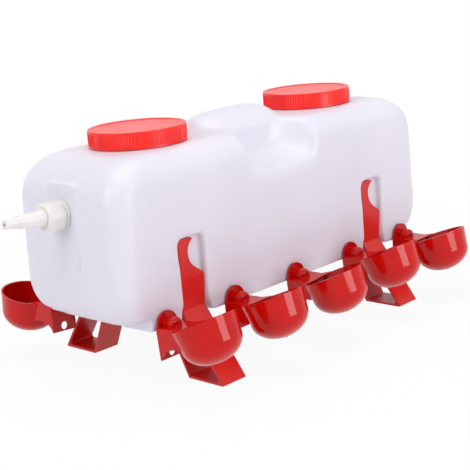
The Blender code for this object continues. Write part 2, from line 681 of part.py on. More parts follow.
def build_leg(name, place, material):
    """Strap with a hook, saddle under the tank's chamfer and hollow foot; +Y away from the tank."""
    slope = CHAMFER_HEIGHT / (HALF_WIDTH - FLOOR_WIDTH / 2)
    inner_face = STRAP_FACE - LEG_PLATE
    low_face = STRAP_FACE - STRAP_LEAN
    saddle_y = FLOOR_WIDTH / 2 + 1.5 * MM

    def saddle(y):
        return TANK_BOTTOM - FIT + slope * (y - FLOOR_WIDTH / 2)

    outline = [(inner_face, STRAP_TOP, 0.6 * MM), (inner_face, STRAP_BEND, 30 * MM),
               (low_face - LEG_PLATE, saddle(low_face - LEG_PLATE), 1.2 * MM),
               (saddle_y, saddle(saddle_y), 1.5 * MM), (FOOT_INNER, 0, FOOT_FILLET),
               (FOOT_OUTER, 0, FOOT_FILLET), (low_face, STRAP_FOOT, 6 * MM),
               (STRAP_FACE, STRAP_BEND, 30 * MM), (STRAP_FACE, STRAP_TOP, 0.6 * MM)]
    half = LEG_WIDTH / 2
    leg = add_object(name, extrude(rounded(outline, 2), -half, half, along_x))
    lean = (FOOT_OUTER - low_face) / STRAP_FOOT
    apex_y = (low_face + lean * STRAP_FOOT - lean * saddle(0)) / (1 + lean * slope)
    foot = [(saddle_y, saddle(saddle_y), TUBE_FILLET / 2), (FOOT_INNER, 0, TUBE_FILLET / 2),
            (FOOT_OUTER, 0, TUBE_FILLET), (apex_y, saddle(apex_y), TUBE_FILLET)]
    hollow = rounded(inset(foot, LEG_PLATE), 2)
    cut(leg, add_object("hollow", extrude(hollow, -half - OVERCUT, half + OVERCUT, along_x)))
    hook = Vector((-half + HOOK_RADIUS + HOOK_FINGER, HOOK_HEIGHT))
    bite = arc(hook, HOOK_RADIUS, 130, 270 - SHOULDER_SLOPE, 8)
    last = Vector(bite[-1])
    heading = Vector((1, 0))
    heading.rotate(Matrix.Rotation(math.radians(-SHOULDER_SLOPE), 2))
    shoulder = last + heading * ((half - last.x) / heading.x)
    edge = [(bite[0][0] - 0.5 * MM, STRAP_TOP + OVERCUT)]
    below = shoulder.y - 3 * SHOULDER_FILLET
    corners = [(last.x, last.y, 0), (shoulder.x, shoulder.y, SHOULDER_FILLET), (half, below, 0),
               (half + OVERCUT, below, 0), (half + OVERCUT, STRAP_TOP + OVERCUT, 0)]
    opening = [(-x, z) for x, z in edge + bite + rounded(corners, 2)[1:]]
    cut(leg, add_object("hook", extrude(opening, HALF_WIDTH - 3 * LEG_PLATE - STRAP_INSET,
                                        HALF_WIDTH + OVERCUT, along_y)))
    return finish(leg, name, material, place)


def leg_place(side, centre):
    turned = Matrix.Rotation(math.pi if side < 0 else 0.0, 4, "Z")
    return Matrix.Translation((centre, 0, 0)) @ turned


def revolved_piece(name, profile, segments, material, place):
    return finish(add_object(name, revolve(profile, segments)), name, material, place)


def build_union_nut(name, start, place, material):
    """Hexagonal union nut with a lip that holds the nozzle's collar."""
    end = start + INLET_NUT_LENGTH
    corner = INLET_NUT_WIDTH / math.sqrt(3)
    nut = add_object(name, extrude(hexagon(INLET_NUT_WIDTH), start, end, along_z))
    soft = 1.6 * MM
    barrel = revolve([(0, end), (corner - soft, end), (corner + FIT, end - soft),
                      (corner + FIT, start + soft), (corner - soft, start), (0, start)], 24)
    combine(nut, add_object("barrel", barrel), "INTERSECT")
    mouth = NOZZLE_BASE / 2 + 2 * FIT
    threaded = SHANK_DIAMETER / 2 + FIT
    lip = end - INLET_NUT_LIP
    bore = revolve([(0, end + OVERCUT), (mouth, end + OVERCUT), (mouth, lip), (threaded, lip),
                    (threaded, start - OVERCUT), (0, start - OVERCUT)], 28)
    cut(nut, add_object("bore", bore))
    return finish(nut, name, material, place)


def build_inlet(materials):
    """Everything on the inlet's axis, from the float valve inside to the nozzle outside."""
    place = inlet_frame()
    bore = WATERWAY / 2
    shank = SHANK_DIAMETER / 2
    ring_end = FIT + LOCK_RING_THICKNESS
    nut_start = ring_end + FIT
    shank_end = nut_start + INLET_THREAD_LENGTH
    revolved_piece("inlet_lock_ring", [
        (shank + FIT, ring_end), (LOCK_RING_DIAMETER / 2 - 0.8 * MM, ring_end),
        (LOCK_RING_DIAMETER / 2, ring_end - 0.8 * MM), (LOCK_RING_DIAMETER / 2, FIT), (shank + FIT, FIT)],
        24, materials["inlet"], place)
    build_union_nut("inlet_union_nut", nut_start, place, materials["inlet"])
    washer = shank_end + FIT
    collar = washer + HOSE_WASHER_THICKNESS + FIT
    neck = nut_start + INLET_NUT_LENGTH - INLET_NUT_LIP - FIT
    revolved_piece("hose_washer", [
        (COLLAR_DIAMETER / 2, collar - FIT), (COLLAR_DIAMETER / 2, washer), (bore + MM, washer),
        (bore + MM, collar - FIT)], 18, materials["rubber"], place)
    tip = nut_start + INLET_NUT_LENGTH + NOZZLE_LENGTH
    cone = nut_start + INLET_NUT_LENGTH + MM
    revolved_piece("inlet_nozzle", [
        (bore, tip), (NOZZLE_TIP / 2 - 0.6 * MM, tip), (NOZZLE_TIP / 2, tip - 0.8 * MM),
        (NOZZLE_BASE / 2, cone), (NOZZLE_BASE / 2, neck), (COLLAR_DIAMETER / 2, neck),
        (COLLAR_DIAMETER / 2, collar), (bore, collar)],
        24, materials["inlet"], place)

    wall_inside = -TANK_WALL - FIT
    flange_face = wall_inside - VALVE_GASKET_THICKNESS - FIT
    chamber_top = flange_face - VALVE_FLANGE_THICKNESS
    chamber_end = chamber_top - CHAMBER_LENGTH
    flange = VALVE_FLANGE_DIAMETER / 2
    revolved_piece("valve_gasket", [
        (flange - MM, wall_inside), (flange - MM, flange_face + FIT), (shank + FIT, flange_face + FIT),
        (shank + FIT, wall_inside)], 18, materials["rubber"], place)
    seat = chamber_top - SEAT_RING_HEIGHT
    seal_rest = seat - FIT - plunger_travel()
    plunger_top = seal_rest - VALVE_SEAL_THICKNESS
    plunger_end = plunger_top - PLUNGER_LENGTH
    pin_depth = plunger_end - FIT - ARM_FINGER / 2 + PIVOT_DROP * math.sin(math.radians(ARM_SWING / 2))
    body = revolve([
        (bore, shank_end), (shank - 0.6 * MM, shank_end), (shank, shank_end - 0.6 * MM), (shank, flange_face),
        (flange, flange_face), (flange, chamber_top), (CHAMBER_DIAMETER / 2, chamber_top),
        (CHAMBER_DIAMETER / 2, chamber_end), (CHAMBER_BORE / 2, chamber_end), (CHAMBER_BORE / 2, chamber_top),
        (bore + 2 * MM, chamber_top), (bore + MM, seat), (bore, seat)], 20)
    valve = add_object("float_valve_body", body)
    down = -1.0
    gap = ARM_WIDTH / 2 + FIT
    for side in (-1, 1):
        ends = sorted((side * gap, side * (gap + CHEEK_THICKNESS)))
        low = PIVOT_DROP + 5 * MM
        cheek = [(down * low, chamber_top - MM), (down * (CHAMBER_BORE / 2 + MM), chamber_top - MM),
                 (down * 3.5 * MM, chamber_end - 2 * MM), (down * 3.5 * MM, pin_depth - 5 * MM),
                 (down * low, pin_depth - 5 * MM)]
        join(valve, add_object("cheek", extrude(cheek, ends[0], ends[1], along_y)))
    cut(valve, add_object("clear", drill(CHAMBER_BORE / 2, pin_depth - 9 * MM, seat - 2 * MM, 20)))
    outside = 2 * (gap + CHEEK_THICKNESS)
    hole = drill(PIN_DIAMETER / 2 + FIT / 2, -outside, outside, 12)
    pin_place = aim((down * PIVOT_DROP, 0, pin_depth), (0, 1, 0))
    cut(valve, add_object("hole", moved(hole, pin_place)))
    for side in (-1, 1):
        port = drill(3.5 * MM, CHAMBER_BORE / 2 - MM, CHAMBER_DIAMETER / 2 + OVERCUT, 10)
        cut(valve, add_object("port", moved(port, aim((0, 0, seat - 5 * MM), (0.5, side, 0)))))
    finish(valve, "float_valve_body", materials["valve"], place)

    slim = CHAMBER_BORE / 2 - FIT
    revolved_piece("valve_seal", [
        (0, 0), (slim - MM, 0), (slim - MM, -VALVE_SEAL_THICKNESS + FIT), (0, -VALVE_SEAL_THICKNESS + FIT)],
        20, materials["rubber"], place @ Matrix.Translation((0, 0, seal_rest)))
    shoulder = PLUNGER_TAIL - PLUNGER_LENGTH
    revolved_piece("valve_plunger", [
        (0, 0), (slim, 0), (slim, shoulder), (TAIL_DIAMETER / 2, shoulder),
        (TAIL_DIAMETER / 2, -PLUNGER_LENGTH), (0, -PLUNGER_LENGTH)],
        20, materials["valve"], place @ Matrix.Translation((0, 0, plunger_top)))

    pivot = place @ Matrix.Translation((down * PIVOT_DROP, 0, pin_depth))
    pin_half = gap + CHEEK_THICKNESS + 1.5 * MM
    pin = moved(cylinder(PIN_DIAMETER / 2, -pin_half, pin_half, 12), aim((0, 0, 0), (0, 1, 0)))
    finish(add_object("arm_pin", pin), "arm_pin", materials["steel"], pivot)
    build_arm(pivot, materials)
    return pivot


def plunger_travel():
    return 2 * PIVOT_DROP * math.sin(math.radians(ARM_SWING / 2))


def build_arm(pivot, materials):
    """Float arm with its finger, and the float; built pointing along -Z, then turned down."""
    half = ARM_WIDTH / 2
    head = [(ARM_HEAD_RADIUS * math.cos(math.radians(a)), ARM_HEAD_RADIUS * math.sin(math.radians(a)))
            for a in range(0, 360, 20)]
    rest = Matrix.Rotation(math.radians(ARM_SWING / 2), 4, "Y")
    arm = add_object("float_arm", extrude(head, -half, half, along_y))
    narrow = half - MM
    beam = [(-ARM_THICKNESS / 2, 0), (ARM_THICKNESS / 2, 0), (ARM_THICKNESS / 2, -ARM_LENGTH),
            (-ARM_THICKNESS / 2, -ARM_LENGTH)]
    join(arm, add_object("beam", extrude(beam, -narrow, narrow, along_y)))
    finger = [(0, ARM_FINGER * 0.15), (ARM_HEAD_RADIUS, ARM_FINGER * 0.15)]
    finger += arc((PIVOT_DROP, 0), ARM_FINGER / 2, 100, -75, 7)
    finger += [(0, -ARM_FINGER * 0.7)]
    join(arm, add_object("finger", extrude(finger, -narrow, narrow, along_y)))
    peg_at = -ARM_LENGTH + FLOAT_PEG
    peg = moved(cylinder(FLOAT_PEG / 2, 0, ARM_THICKNESS / 2 + 9 * MM, 12), aim((0, 0, peg_at), (-1, 0, 0)))
    join(arm, add_object("peg", peg))
    cut(arm, add_object("bore", moved(drill(PIN_DIAMETER / 2 + FIT, -2 * half, 2 * half, 12),
                                      aim((0, 0, 0), (0, 1, 0)))))
    finish(arm, "float_arm", materials["valve"], pivot @ rest)
    roof = ARM_THICKNESS / 2 + FIT
    radius = FLOAT_DIAMETER / 2
    inner = radius - FLOAT_WALL
    soft = 3 * MM
    base = roof + FLOAT_HEIGHT
    hub = FLOAT_PEG / 2 + 2.5 * MM
    ceiling = roof + FLOAT_WALL
    profile = [(FLOAT_PEG / 2 + FIT, roof), (radius - soft, roof), (radius, roof + soft), (radius, base),
               (inner, base), (inner, roof + soft), (inner - soft + MM, ceiling), (hub, ceiling),
               (hub, roof + 8 * MM), (FLOAT_PEG / 2 + FIT, roof + 8 * MM)]
    below = Matrix.Translation((0, 0, peg_at)) @ Matrix.Rotation(-math.pi / 2, 4, "Y")
    bell = moved(revolve(profile, 20), below)
    finish(add_object("float_bell", bell), "float_bell", materials["float"], pivot @ rest)


def build_cups(materials):
    rows = ((-1, "near", NEAR_CUP_LEAN, NEAR_CUP_ROLL), (1, "far", FAR_CUP_LEAN, FAR_CUP_ROLL))
    for side, row, lean, rolls in rows:
        for i, centre in enumerate(cup_centres()):
            place = cup_place(side, centre, lean, rolls[i % len(rolls)])
            number = f"{row}_{i + 1}"
            build_cup(f"cup_{number}", place, materials["cup"])
            build_gasket(f"cup_gasket_{number}", place, materials["rubber"])
            build_cup_nut(f"cup_nut_{number}", place, lean, materials["nut"])


def centre_on_ground(pieces):
    """Put the origin on the ground under the middle of the whole outline."""
    bpy.context.view_layer.update()
    points = [piece.matrix_world @ vert.co for piece in pieces for vert in piece.data.vertices]
    low = Vector([min(p[i] for p in points) for i in range(3)])
    high = Vector([max(p[i] for p in points) for i in range(3)])
    shift = Vector((-(low.x + high.x) / 2, -(low.y + high.y) / 2, -low.z))
    for piece in pieces:
        piece.location += shift


def main():
    for old in list(bpy.data.objects):
        bpy.data.objects.remove(old, do_unlink=True)
    materials = {
        "tank": build_material("white_polyethylene", (0.80, 0.80, 0.83), 0.45),
        "lid": build_material("red_lid_polypropylene", (0.78, 0.035, 0.025), 0.35),
        "cup": build_material("red_cup_polypropylene", (0.52, 0.010, 0.010), 0.25),
        "leg": build_material("red_leg_polypropylene", (0.55, 0.012, 0.012), 0.35),
        "inlet": build_material("white_inlet_nylon", (0.82, 0.82, 0.78), 0.35),
        "valve": build_material("white_valve_acetal", (0.75, 0.75, 0.72), 0.40),
        "float": build_material("blue_grey_float_polypropylene", (0.30, 0.38, 0.45), 0.45),
        "nut": build_material("white_nut_polypropylene", (0.75, 0.75, 0.73), 0.45),
        "rubber": build_material("black_rubber", (0.02, 0.02, 0.02), 0.75),
        "steel": build_material("stainless_pin", (0.60, 0.60, 0.60), 0.30, 1.0),
    }
    build_tank(materials["tank"])
    for name, centre in (("left", -LID_SPACING / 2), ("right", LID_SPACING / 2)):
        build_lid(f"lid_{name}", centre, materials["lid"])
        build_seal(f"lid_seal_{name}", centre, materials["rubber"])
    build_cups(materials)
    for side, row in ((-1, "near"), (1, "far")):
        for centre, name in ((-LEG_SPACING / 2, "left"), (LEG_SPACING / 2, "right")):
            build_leg(f"leg_{row}_{name}", leg_place(side, centre), materials["leg"])
    build_inlet(materials)
    centre_on_ground(list(bpy.data.objects))


main()
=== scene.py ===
"""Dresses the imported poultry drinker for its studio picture.

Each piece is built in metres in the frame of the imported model, at the place and size of the node it stands
for, with the soft edges, ribs, threads and plastics of the real mouldings.
"""

import math

import bmesh
import bpy
import numpy as np
from mathutils import Matrix, Vector


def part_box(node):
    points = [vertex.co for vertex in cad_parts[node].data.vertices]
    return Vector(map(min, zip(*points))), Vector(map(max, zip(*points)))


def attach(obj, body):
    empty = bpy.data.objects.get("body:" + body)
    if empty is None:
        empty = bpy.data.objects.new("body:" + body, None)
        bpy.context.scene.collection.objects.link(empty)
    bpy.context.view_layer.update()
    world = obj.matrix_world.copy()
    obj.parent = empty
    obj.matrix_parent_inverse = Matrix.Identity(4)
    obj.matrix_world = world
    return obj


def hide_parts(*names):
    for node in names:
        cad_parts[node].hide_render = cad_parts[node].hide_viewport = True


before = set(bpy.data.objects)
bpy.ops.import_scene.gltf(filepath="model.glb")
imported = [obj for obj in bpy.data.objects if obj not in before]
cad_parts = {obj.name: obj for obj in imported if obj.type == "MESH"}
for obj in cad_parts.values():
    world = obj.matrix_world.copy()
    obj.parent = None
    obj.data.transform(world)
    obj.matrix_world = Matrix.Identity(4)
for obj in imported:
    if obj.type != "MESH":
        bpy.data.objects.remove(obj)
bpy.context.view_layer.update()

MM = 0.001
SHARP_ANGLE = 38.0              # degrees between two faces from which an edge stays crisp
FIT = 0.3 * MM
PAST = 2 * MM                   # how far a cutter reaches past the face that it opens

# Tank
TANK_LENGTH = 478 * MM
TANK_WIDTH = 156 * MM
TANK_BOTTOM = 60 * MM
TANK_HEIGHT = 168 * MM
TANK_WALL = 2.5 * MM
CORNER_RADIUS = 24 * MM
END_TOP_RADIUS = 44 * MM
END_BOTTOM_RADIUS = 45 * MM
SHOULDER_RADIUS = 27 * MM
FLOOR_WIDTH = 84 * MM
CHAMFER_HEIGHT = 15 * MM
END_DRAFT = 2.0
MIDDLE_HEIGHTS = (120 * MM, 150 * MM)
SKIN_SPACING = 1.6 * MM         # between the points of the tank's skin
LINING_SPACING = 3.2 * MM       # and between those of its inside
SETTLE_SHARE = 0.5              # of the way to its neighbours' middle that a free point goes in a round
SKIN_ROUNDS = 5
POCKET_ROUNDS = 60
CHANNEL_ROUNDS = 9

# Necks and lids
LID_SPACING = 263 * MM
LID_DIAMETER = 100 * MM
LID_HEIGHT = 17 * MM
LID_LIFT = 0.8 * MM
LID_WALL = 2.2 * MM
LID_RIM_WIDTH = 4 * MM
LID_RIM_HEIGHT = 0.9 * MM
GRIP_DEPTH = 0.6 * MM
GRIP_RIBS = 108                 # places round the lid for a grip rib
GRIP_GROUPS = 6
GRIP_GAP = 3                    # places left smooth between two groups
LID_TURNED = {"left": -127.0, "right": -114.0}    # degrees, the middle of one smooth gap on a closed lid
NECK_WALL = 3 * MM
NECK_CLEARANCE = 1.2 * MM
NECK_SOFTNESS = 0.8 * MM
THREAD_PITCH = 6 * MM
THREAD_HEIGHT = 0.9 * MM
THREAD_WIDTH = 2.4 * MM
THREAD_TURNS = 1.25
THREAD_START = 3.6 * MM
SEAL_THICKNESS = 1.8 * MM

# Handle and hand pockets
HANDLE_LENGTH = 124 * MM
HANDLE_WIDTH = 82 * MM          # to the foot of its crown, softer and broader than the solid's
HANDLE_HEIGHT = 16.8 * MM
HANDLE_END = 42 * MM            # each end of its crown falls away over this length
HANDLE_CORNER = 30 * MM
HANDLE_SUNK = 3 * MM            # into the tank, so that the two join
CROWN_STEPS = 12
CREST_SHARE = 0.09              # of the handle's half width is left at its crest
POCKET_TOP_WIDTH = 108 * MM
POCKET_BOTTOM_WIDTH = 96 * MM
POCKET_DEPTH = 44 * MM
POCKET_SLOPE = 19 * MM
POCKET_CORNER = 15 * MM
POCKET_SWEEP = 36 * MM          # along the tank, where a pocket's back sweeps round into its ends
POCKET_SWEEP_DEPTH = 35 * MM
GRIP_WALL_SPACING = 78 * MM

# Drinking cups
CUP_PITCH = 94.6 * MM
CUP_AXIS_HEIGHT = 67 * MM
CUP_WIDTH = 30 * MM
CUP_PLATE = 2 * MM
CUP_PLATE_DROP = 1 * MM
CUP_REACH = 31.5 * MM
CUP_BACK_HEIGHT = 33 * MM
CUP_EAR_RADIUS = 13 * MM
CUP_BOSS_RADIUS = 7.4 * MM
CUP_BOSS_LENGTH = 16.5 * MM
CUP_WEB_ARCH = 19.5 * MM
CUP_FIXING_HOLE = 8.5 * MM
CUP_FIXING_DROP = 27.5 * MM
BOWL_RADIUS = 32.2 * MM
BOWL_OFFSET = 22 * MM           # along the rim, from the top plate's edge to the bowl's middle
BOWL_DEPTH = 41.5 * MM
BOWL_WALL_DEPTH = 20 * MM
BOWL_TAPER = 2.6 * MM
BOWL_WALL = 1.9 * MM
BOWL_TILT = 19.0
BOWL_SHOULDER = 6 * MM          # of the wall above the rim, where the level shelf roofs it
LIP_SOFTNESS = 0.55 * MM
BRACKET_SOFTNESS = 0.35 * MM
EAR_SOFTNESS = 0.4 * MM
STEM_RISE = 5.6 * MM
STEM_DIAMETER = 10 * MM
STEM_LENGTH = 14 * MM
STEM_BORE = 4.8 * MM
SPOUT_DROP = 10 * MM
GASKET_THICKNESS = 1.2 * MM
GASKET_DIAMETER = 14 * MM
STEM_CLEARANCE = 1 * MM
SEAT_SPANS = ((-207.0, -164.0), (-124.6, 124.6), (164.0, 207.0))     # along the tank, in millimetres
SEAT_HEIGHT = 17 * MM
SEAT_RISE = 1.2 * MM
SEAT_PROUD = 0.3 * MM
SEAT_EDGE = 1.5 * MM
# how each cup hangs on its stem, in degrees: tipped away from the tank, and turned round its stem
NEAR_CUP_LEAN = (4.5, 2.0, 1.0, 4.0, -1.0)
FAR_CUP_LEAN = (-6.0, -6.0, -6.0, -6.0, -6.0)
NEAR_CUP_ROLL = (0.5, 0.0, 4.5, 1.5, 1.0)
FAR_CUP_ROLL = (-4.0, 1.0, -2.0, 0.0, 2.0)
NEAR_CUP_ROOM = 1.0             # the lean that the near cups' distance allows for

# Clip-on legs
LEG_SPACING = 288.6 * MM
LEG_WIDTH = 31.2 * MM
LEG_PLATE = 2.6 * MM
STRAP_TOP = 140.5 * MM
STRAP_BEND = 101 * MM
STRAP_FOOT = 69 * MM
STRAP_INSET = 3.3 * MM
STRAP_LEAN = 2.6 * MM
FOOT_OUTER = 121.3 * MM
FOOT_INNER = 72.1 * MM
HOOK_RADIUS = 19 * MM
HOOK_HEIGHT = 125.5 * MM
HOOK_FINGER = 12 * MM
HOOK_UPPER_RADIUS = 15 * MM
HOOK_TIP = 0.9 * MM             # rounding of the hook's end
STRAP_BEND_RADIUS = 9 * MM
SHOULDER_FILLET = 6 * MM
SHOULDER_SLOPE = 35.0
FOOT_FILLET = 1.2 * MM
TUBE_FILLET = 2.5 * MM
LEG_SOFTNESS = 0.45 * MM
CHANNEL_MARGIN = 0.8 * MM
CHANNEL_FLARE = 4 * MM          # beside the hook
CHANNEL_CORNER = 6 * MM
CHANNEL_PAST = 9 * MM           # below the tank's bottom
CHANNEL_STEP = 113 * MM         # below this height it is as narrow as the strap

# Water inlet
INLET_HEIGHT = 177 * MM
INLET_TILT = 4.0
PAD_WIDTH = 41 * MM
PAD_ABOVE = 30 * MM
PAD_BELOW = 55 * MM
PAD_RAISE = 1 * MM
PAD_DRAFT = 2 * MM
PAD_CORNER = 5 * MM
SHANK_DIAMETER = 20 * MM
SHANK_CLEARANCE = 0.5 * MM
WATERWAY = 6 * MM
LOCK_RING_DIAMETER = 29.6 * MM
LOCK_RING_THICKNESS = 3.2 * MM
INLET_NUT_WIDTH = 26 * MM
INLET_NUT_LENGTH = 19 * MM
INLET_NUT_LIP = 2.1 * MM
INLET_NUT_SOFTNESS = 0.5 * MM
INLET_BORE_SOFTNESS = 0.3 * MM
INLET_THREAD_LENGTH = 10.2 * MM
HOSE_WASHER_THICKNESS = 1.8 * MM
COLLAR_DIAMETER = 19.4 * MM
NOZZLE_BASE = 15.8 * MM
NOZZLE_TIP = 9.6 * MM
NOZZLE_LENGTH = 43.2 * MM

# Values that follow from the sizes above
HALF_LENGTH = TANK_LENGTH / 2
HALF_WIDTH = TANK_WIDTH / 2
TANK_TOP = TANK_BOTTOM + TANK_HEIGHT
CHAMFER_TOP = TANK_BOTTOM + CHAMFER_HEIGHT
LID_BOTTOM = TANK_TOP + LID_LIFT
LID_TOP = LID_BOTTOM + LID_HEIGHT
LID_ROOF = LID_TOP - LID_RIM_HEIGHT - LID_WALL
NECK_TOP = LID_ROOF - SEAL_THICKNESS - 2 * FIT
NECK_RADIUS = LID_DIAMETER / 2 - GRIP_DEPTH - LID_WALL - NECK_CLEARANCE
STRAP_FACE = HALF_WIDTH - STRAP_INSET

# Camera, fitted to the photograph: its place from the tank's middle in millimetres, and its directions
CAMERA_LENS = 90.74
CAMERA_PLACE = (-910.5, -893.4, 407.75)
CAMERA_AHEAD = (0.69226, 0.68293, -0.23320)
CAMERA_UP = (0.22588, 0.10184, 0.96881)

# Soft boxes: name, place, target, width and height in metres, and watts
SOFTBOXES = (("front_softbox", (0.25, -1.75, 0.42), (0.0, 0.0, 0.42), 0.84, 0.80, 12.5),
             ("top_softbox", (0.0, 0.0, 2.2), (0.0, 0.0, 0.1), 1.8, 1.4, 20.0),
             ("left_softbox", (-1.85, 0.1, 1.2), (0.0, 0.0, 0.15), 1.0, 1.2, 14.0))
FILL_LIGHT = 0.47               # of white, from all sides

# The tank's own middle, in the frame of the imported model: halfway between the two lids
TANK_MIDDLE = (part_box("lid_left")[0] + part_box("lid_right")[1]) / 2
TANK_MIDDLE.z = 0.0


# Materials


def linear(code):
    """An sRGB hex colour as linear red, green, blue and full alpha."""
    parts = [int(code[i:i + 2], 16) / 255 for i in (1, 3, 5)]
    return tuple(p / 12.92 if p <= 0.04045 else ((p + 0.055) / 1.055) ** 2.4 for p in parts) + (1.0,)


def add_node(tree, kind, feeds=None, **settings):
    """Add a node, set its options, and give each named input a value or a link."""
    node = tree.nodes.new(kind)
    for name, value in settings.items():
        setattr(node, name, value)
    for name, value in (feeds or {}).items():
        if isinstance(value, bpy.types.NodeSocket):
            tree.links.new(value, node.inputs[name])
        else:
            node.inputs[name].default_value = value
    return node


def empty_tree(owner):
    """Node tree of a new material or world, cleared."""
    owner.use_nodes = True
    owner.node_tree.nodes.clear()
    return owner.node_tree


def new_plastic(name, ior):
    """Material with a Principled shader on its output, and the point on the piece in metres."""
    material = bpy.data.materials.new(name)
    tree = empty_tree(material)
    shader = add_node(tree, "ShaderNodeBsdfPrincipled", {"IOR": ior})
    add_node(tree, "ShaderNodeOutputMaterial", {"Surface": shader.outputs["BSDF"]})
    point = add_node(tree, "ShaderNodeTexCoord").outputs["Object"]
    return material, tree, shader, point


def cloud(tree, point, size, detail=2.0):
    """Soft noise whose blotches are about one size across, in metres."""
    feeds = {"Vector": point, "Scale": 0.5 / size, "Detail": detail}
    return add_node(tree, "ShaderNodeTexNoise", feeds).outputs["Fac"]


def shade_between(tree, shader, amount, dark, light):
    """Base colour that wanders between two near shades of one plastic."""
    ramp = add_node(tree, "ShaderNodeValToRGB", {"Fac": amount})
    for stop, place, code in zip(ramp.color_ramp.elements, (0.32, 0.68), (dark, light)):
        stop.position = place
        stop.color = linear(code)
    tree.links.new(ramp.outputs["Color"], shader.inputs["Base Color"])


def gloss_between(tree, shader, amount, low, high):
    """Roughness that follows a pattern between two values."""
    gloss = add_node(tree, "ShaderNodeMapRange", {
        "Value": amount, "From Min": 0.3, "From Max": 0.7, "To Min": low, "To Max": high})
    tree.links.new(gloss.outputs["Result"], shader.inputs["Roughness"])


def raise_by(tree, shader, height, depth, strength=1.0):
    """Relief of a real depth in metres, laid over the relief that is there already."""
    feeds = {"Height": height, "Distance": depth, "Strength": strength}
    if shader.inputs["Normal"].is_linked:
        feeds["Normal"] = shader.inputs["Normal"].links[0].from_socket
    bump = add_node(tree, "ShaderNodeBump", feeds)
    tree.links.new(bump.outputs["Normal"], shader.inputs["Normal"])


def moulded(name, ior, blotch, shades, patch, gloss, *reliefs):
    """A moulded skin: two shades in blotches, gloss in patches, then reliefs of a size and a depth, in mm."""
    material, tree, shader, point = new_plastic(name, ior)
    shade_between(tree, shader, cloud(tree, point, blotch * MM), *shades)
    gloss_between(tree, shader, cloud(tree, point, patch * MM), *gloss)
    for size, depth, *strength in reliefs:
        raise_by(tree, shader, cloud(tree, point, size * MM), depth * MM, *strength)
    return material, tree, shader, point


def soak(shader, share, radius, depth):
    """Let light soak into the plastic, down to about a depth in metres."""
    shader.inputs["Subsurface Weight"].default_value = share
    shader.inputs["Subsurface Radius"].default_value = radius
    shader.inputs["Subsurface Scale"].default_value = depth


def blow_moulded_polyethylene():
    """Natural high density polyethylene, blow moulded: milky, with light soaking in at its edges."""
    # the wall's uneven thickness shows as faint clouds a hand's width across, and a sand blasted mould gives
    # a satin skin with slightly shinier patches
    material, tree, shader, point = moulded(
        "blow_moulded_polyethylene", 1.54, 60, ("#DDDBE6", "#E3E1EB"), 25, (0.36, 0.46))
    soak(shader, 0.18, (1.0, 0.95, 1.0), 4 * MM)
    # orange peel about 2 mm across, drawn at twice its real 1 mm so that it shows
    raise_by(tree, shader, cloud(tree, point, 2 * MM, 1.0), 0.02 * MM)
    # shallow sink waves where the blown wall cooled unevenly
    raise_by(tree, shader, cloud(tree, point, 38 * MM), 0.6 * MM, 0.5)
    # the parting line runs round the tank where the two halves of the mould met
    across = add_node(tree, "ShaderNodeSeparateXYZ", {"Vector": point}).outputs["Y"]
    away = add_node(tree, "ShaderNodeMath", {0: across, 1: TANK_MIDDLE.y}, operation="SUBTRACT")
    away = add_node(tree, "ShaderNodeMath", {0: away.outputs[0]}, operation="ABSOLUTE")
    ridge = add_node(tree, "ShaderNodeMapRange", {
        "Value": away.outputs[0], "From Min": 0.25 * MM, "From Max": 0.8 * MM, "To Min": 1.0, "To Max": 0.0},
        interpolation_type="SMOOTHSTEP")
    raise_by(tree, shader, ridge.outputs["Result"], 0.25 * MM)
    return material


def injection_moulded_lid_polypropylene():
    """Bright red polypropylene: a satin, faintly grained cap that takes a pale sheen at low angles."""
    # the mould's spark eroded grain is about 0.6 mm across and no deeper than a few thousandths
    material, _, shader, _ = moulded(
        "injection_moulded_lid_polypropylene", 1.49, 14, ("#F0180E", "#F82014"), 6, (0.28, 0.36),
        (0.6, 0.003))
    shader.inputs["Specular IOR Level"].default_value = 0.5
    return material


def gloss_moulded_cup_polypropylene():
    """Deep red polypropylene from a polished mould: wet looking, with crisp reflections."""
    # faint flow marks that the cooling plastic leaves across a thin wall, under a very fine grain
    material, _, shader, _ = moulded(
        "gloss_moulded_cup_polypropylene", 1.50, 16, ("#BE0805", "#C80B07"), 9, (0.08, 0.14),
        (7, 0.05, 0.5), (0.9, 0.003))
    shader.inputs["Specular IOR Level"].default_value = 0.28
    return material


def satin_moulded_leg_polypropylene():
    """Red polypropylene from a finely blasted mould: the legs are a little duller than the cups."""
    # fine grain, then slow waves in the flat strap, as a long thin moulding has
    material, _, shader, _ = moulded(
        "satin_moulded_leg_polypropylene", 1.49, 18, ("#CE1A15", "#D62019"), 8, (0.28, 0.38),
        (0.7, 0.003), (12, 0.12, 0.5))
    shader.inputs["Specular IOR Level"].default_value = 0.45
    return material


def moulded_inlet_nylon():
    """Off-white nylon of the inlet: creamy and softly glossy."""
    material, _, shader, _ = moulded(
        "moulded_inlet_nylon", 1.53, 9, ("#E2E0DC", "#E8E6E2"), 4, (0.26, 0.36), (0.8, 0.008))
    soak(shader, 0.12, (1.0, 0.9, 0.8), 1.5 * MM)
    return material


def moulded_valve_acetal():
    """Cold white acetal of the float valve: slippery, with fine moulding grain."""
    return moulded("moulded_valve_acetal", 1.48, 8, ("#E2E2DE", "#ECECE8"), 3, (0.28, 0.40), (0.6, 0.010))[0]


def moulded_float_polypropylene():
    """Blue grey polypropylene of the float bell: matt, with soft sink marks."""
    return moulded("moulded_float_polypropylene", 1.49, 12, ("#8798A6", "#93A4B2"), 5, (0.40, 0.52),
                   (1.0, 0.015))[0]


def moulded_nut_polypropylene():
    """White polypropylene of the cup nuts: plain and slightly waxy."""
    return moulded("moulded_nut_polypropylene", 1.49, 6, ("#DEDEDA", "#E8E8E4"), 3, (0.36, 0.46),
                   (0.6, 0.010))[0]


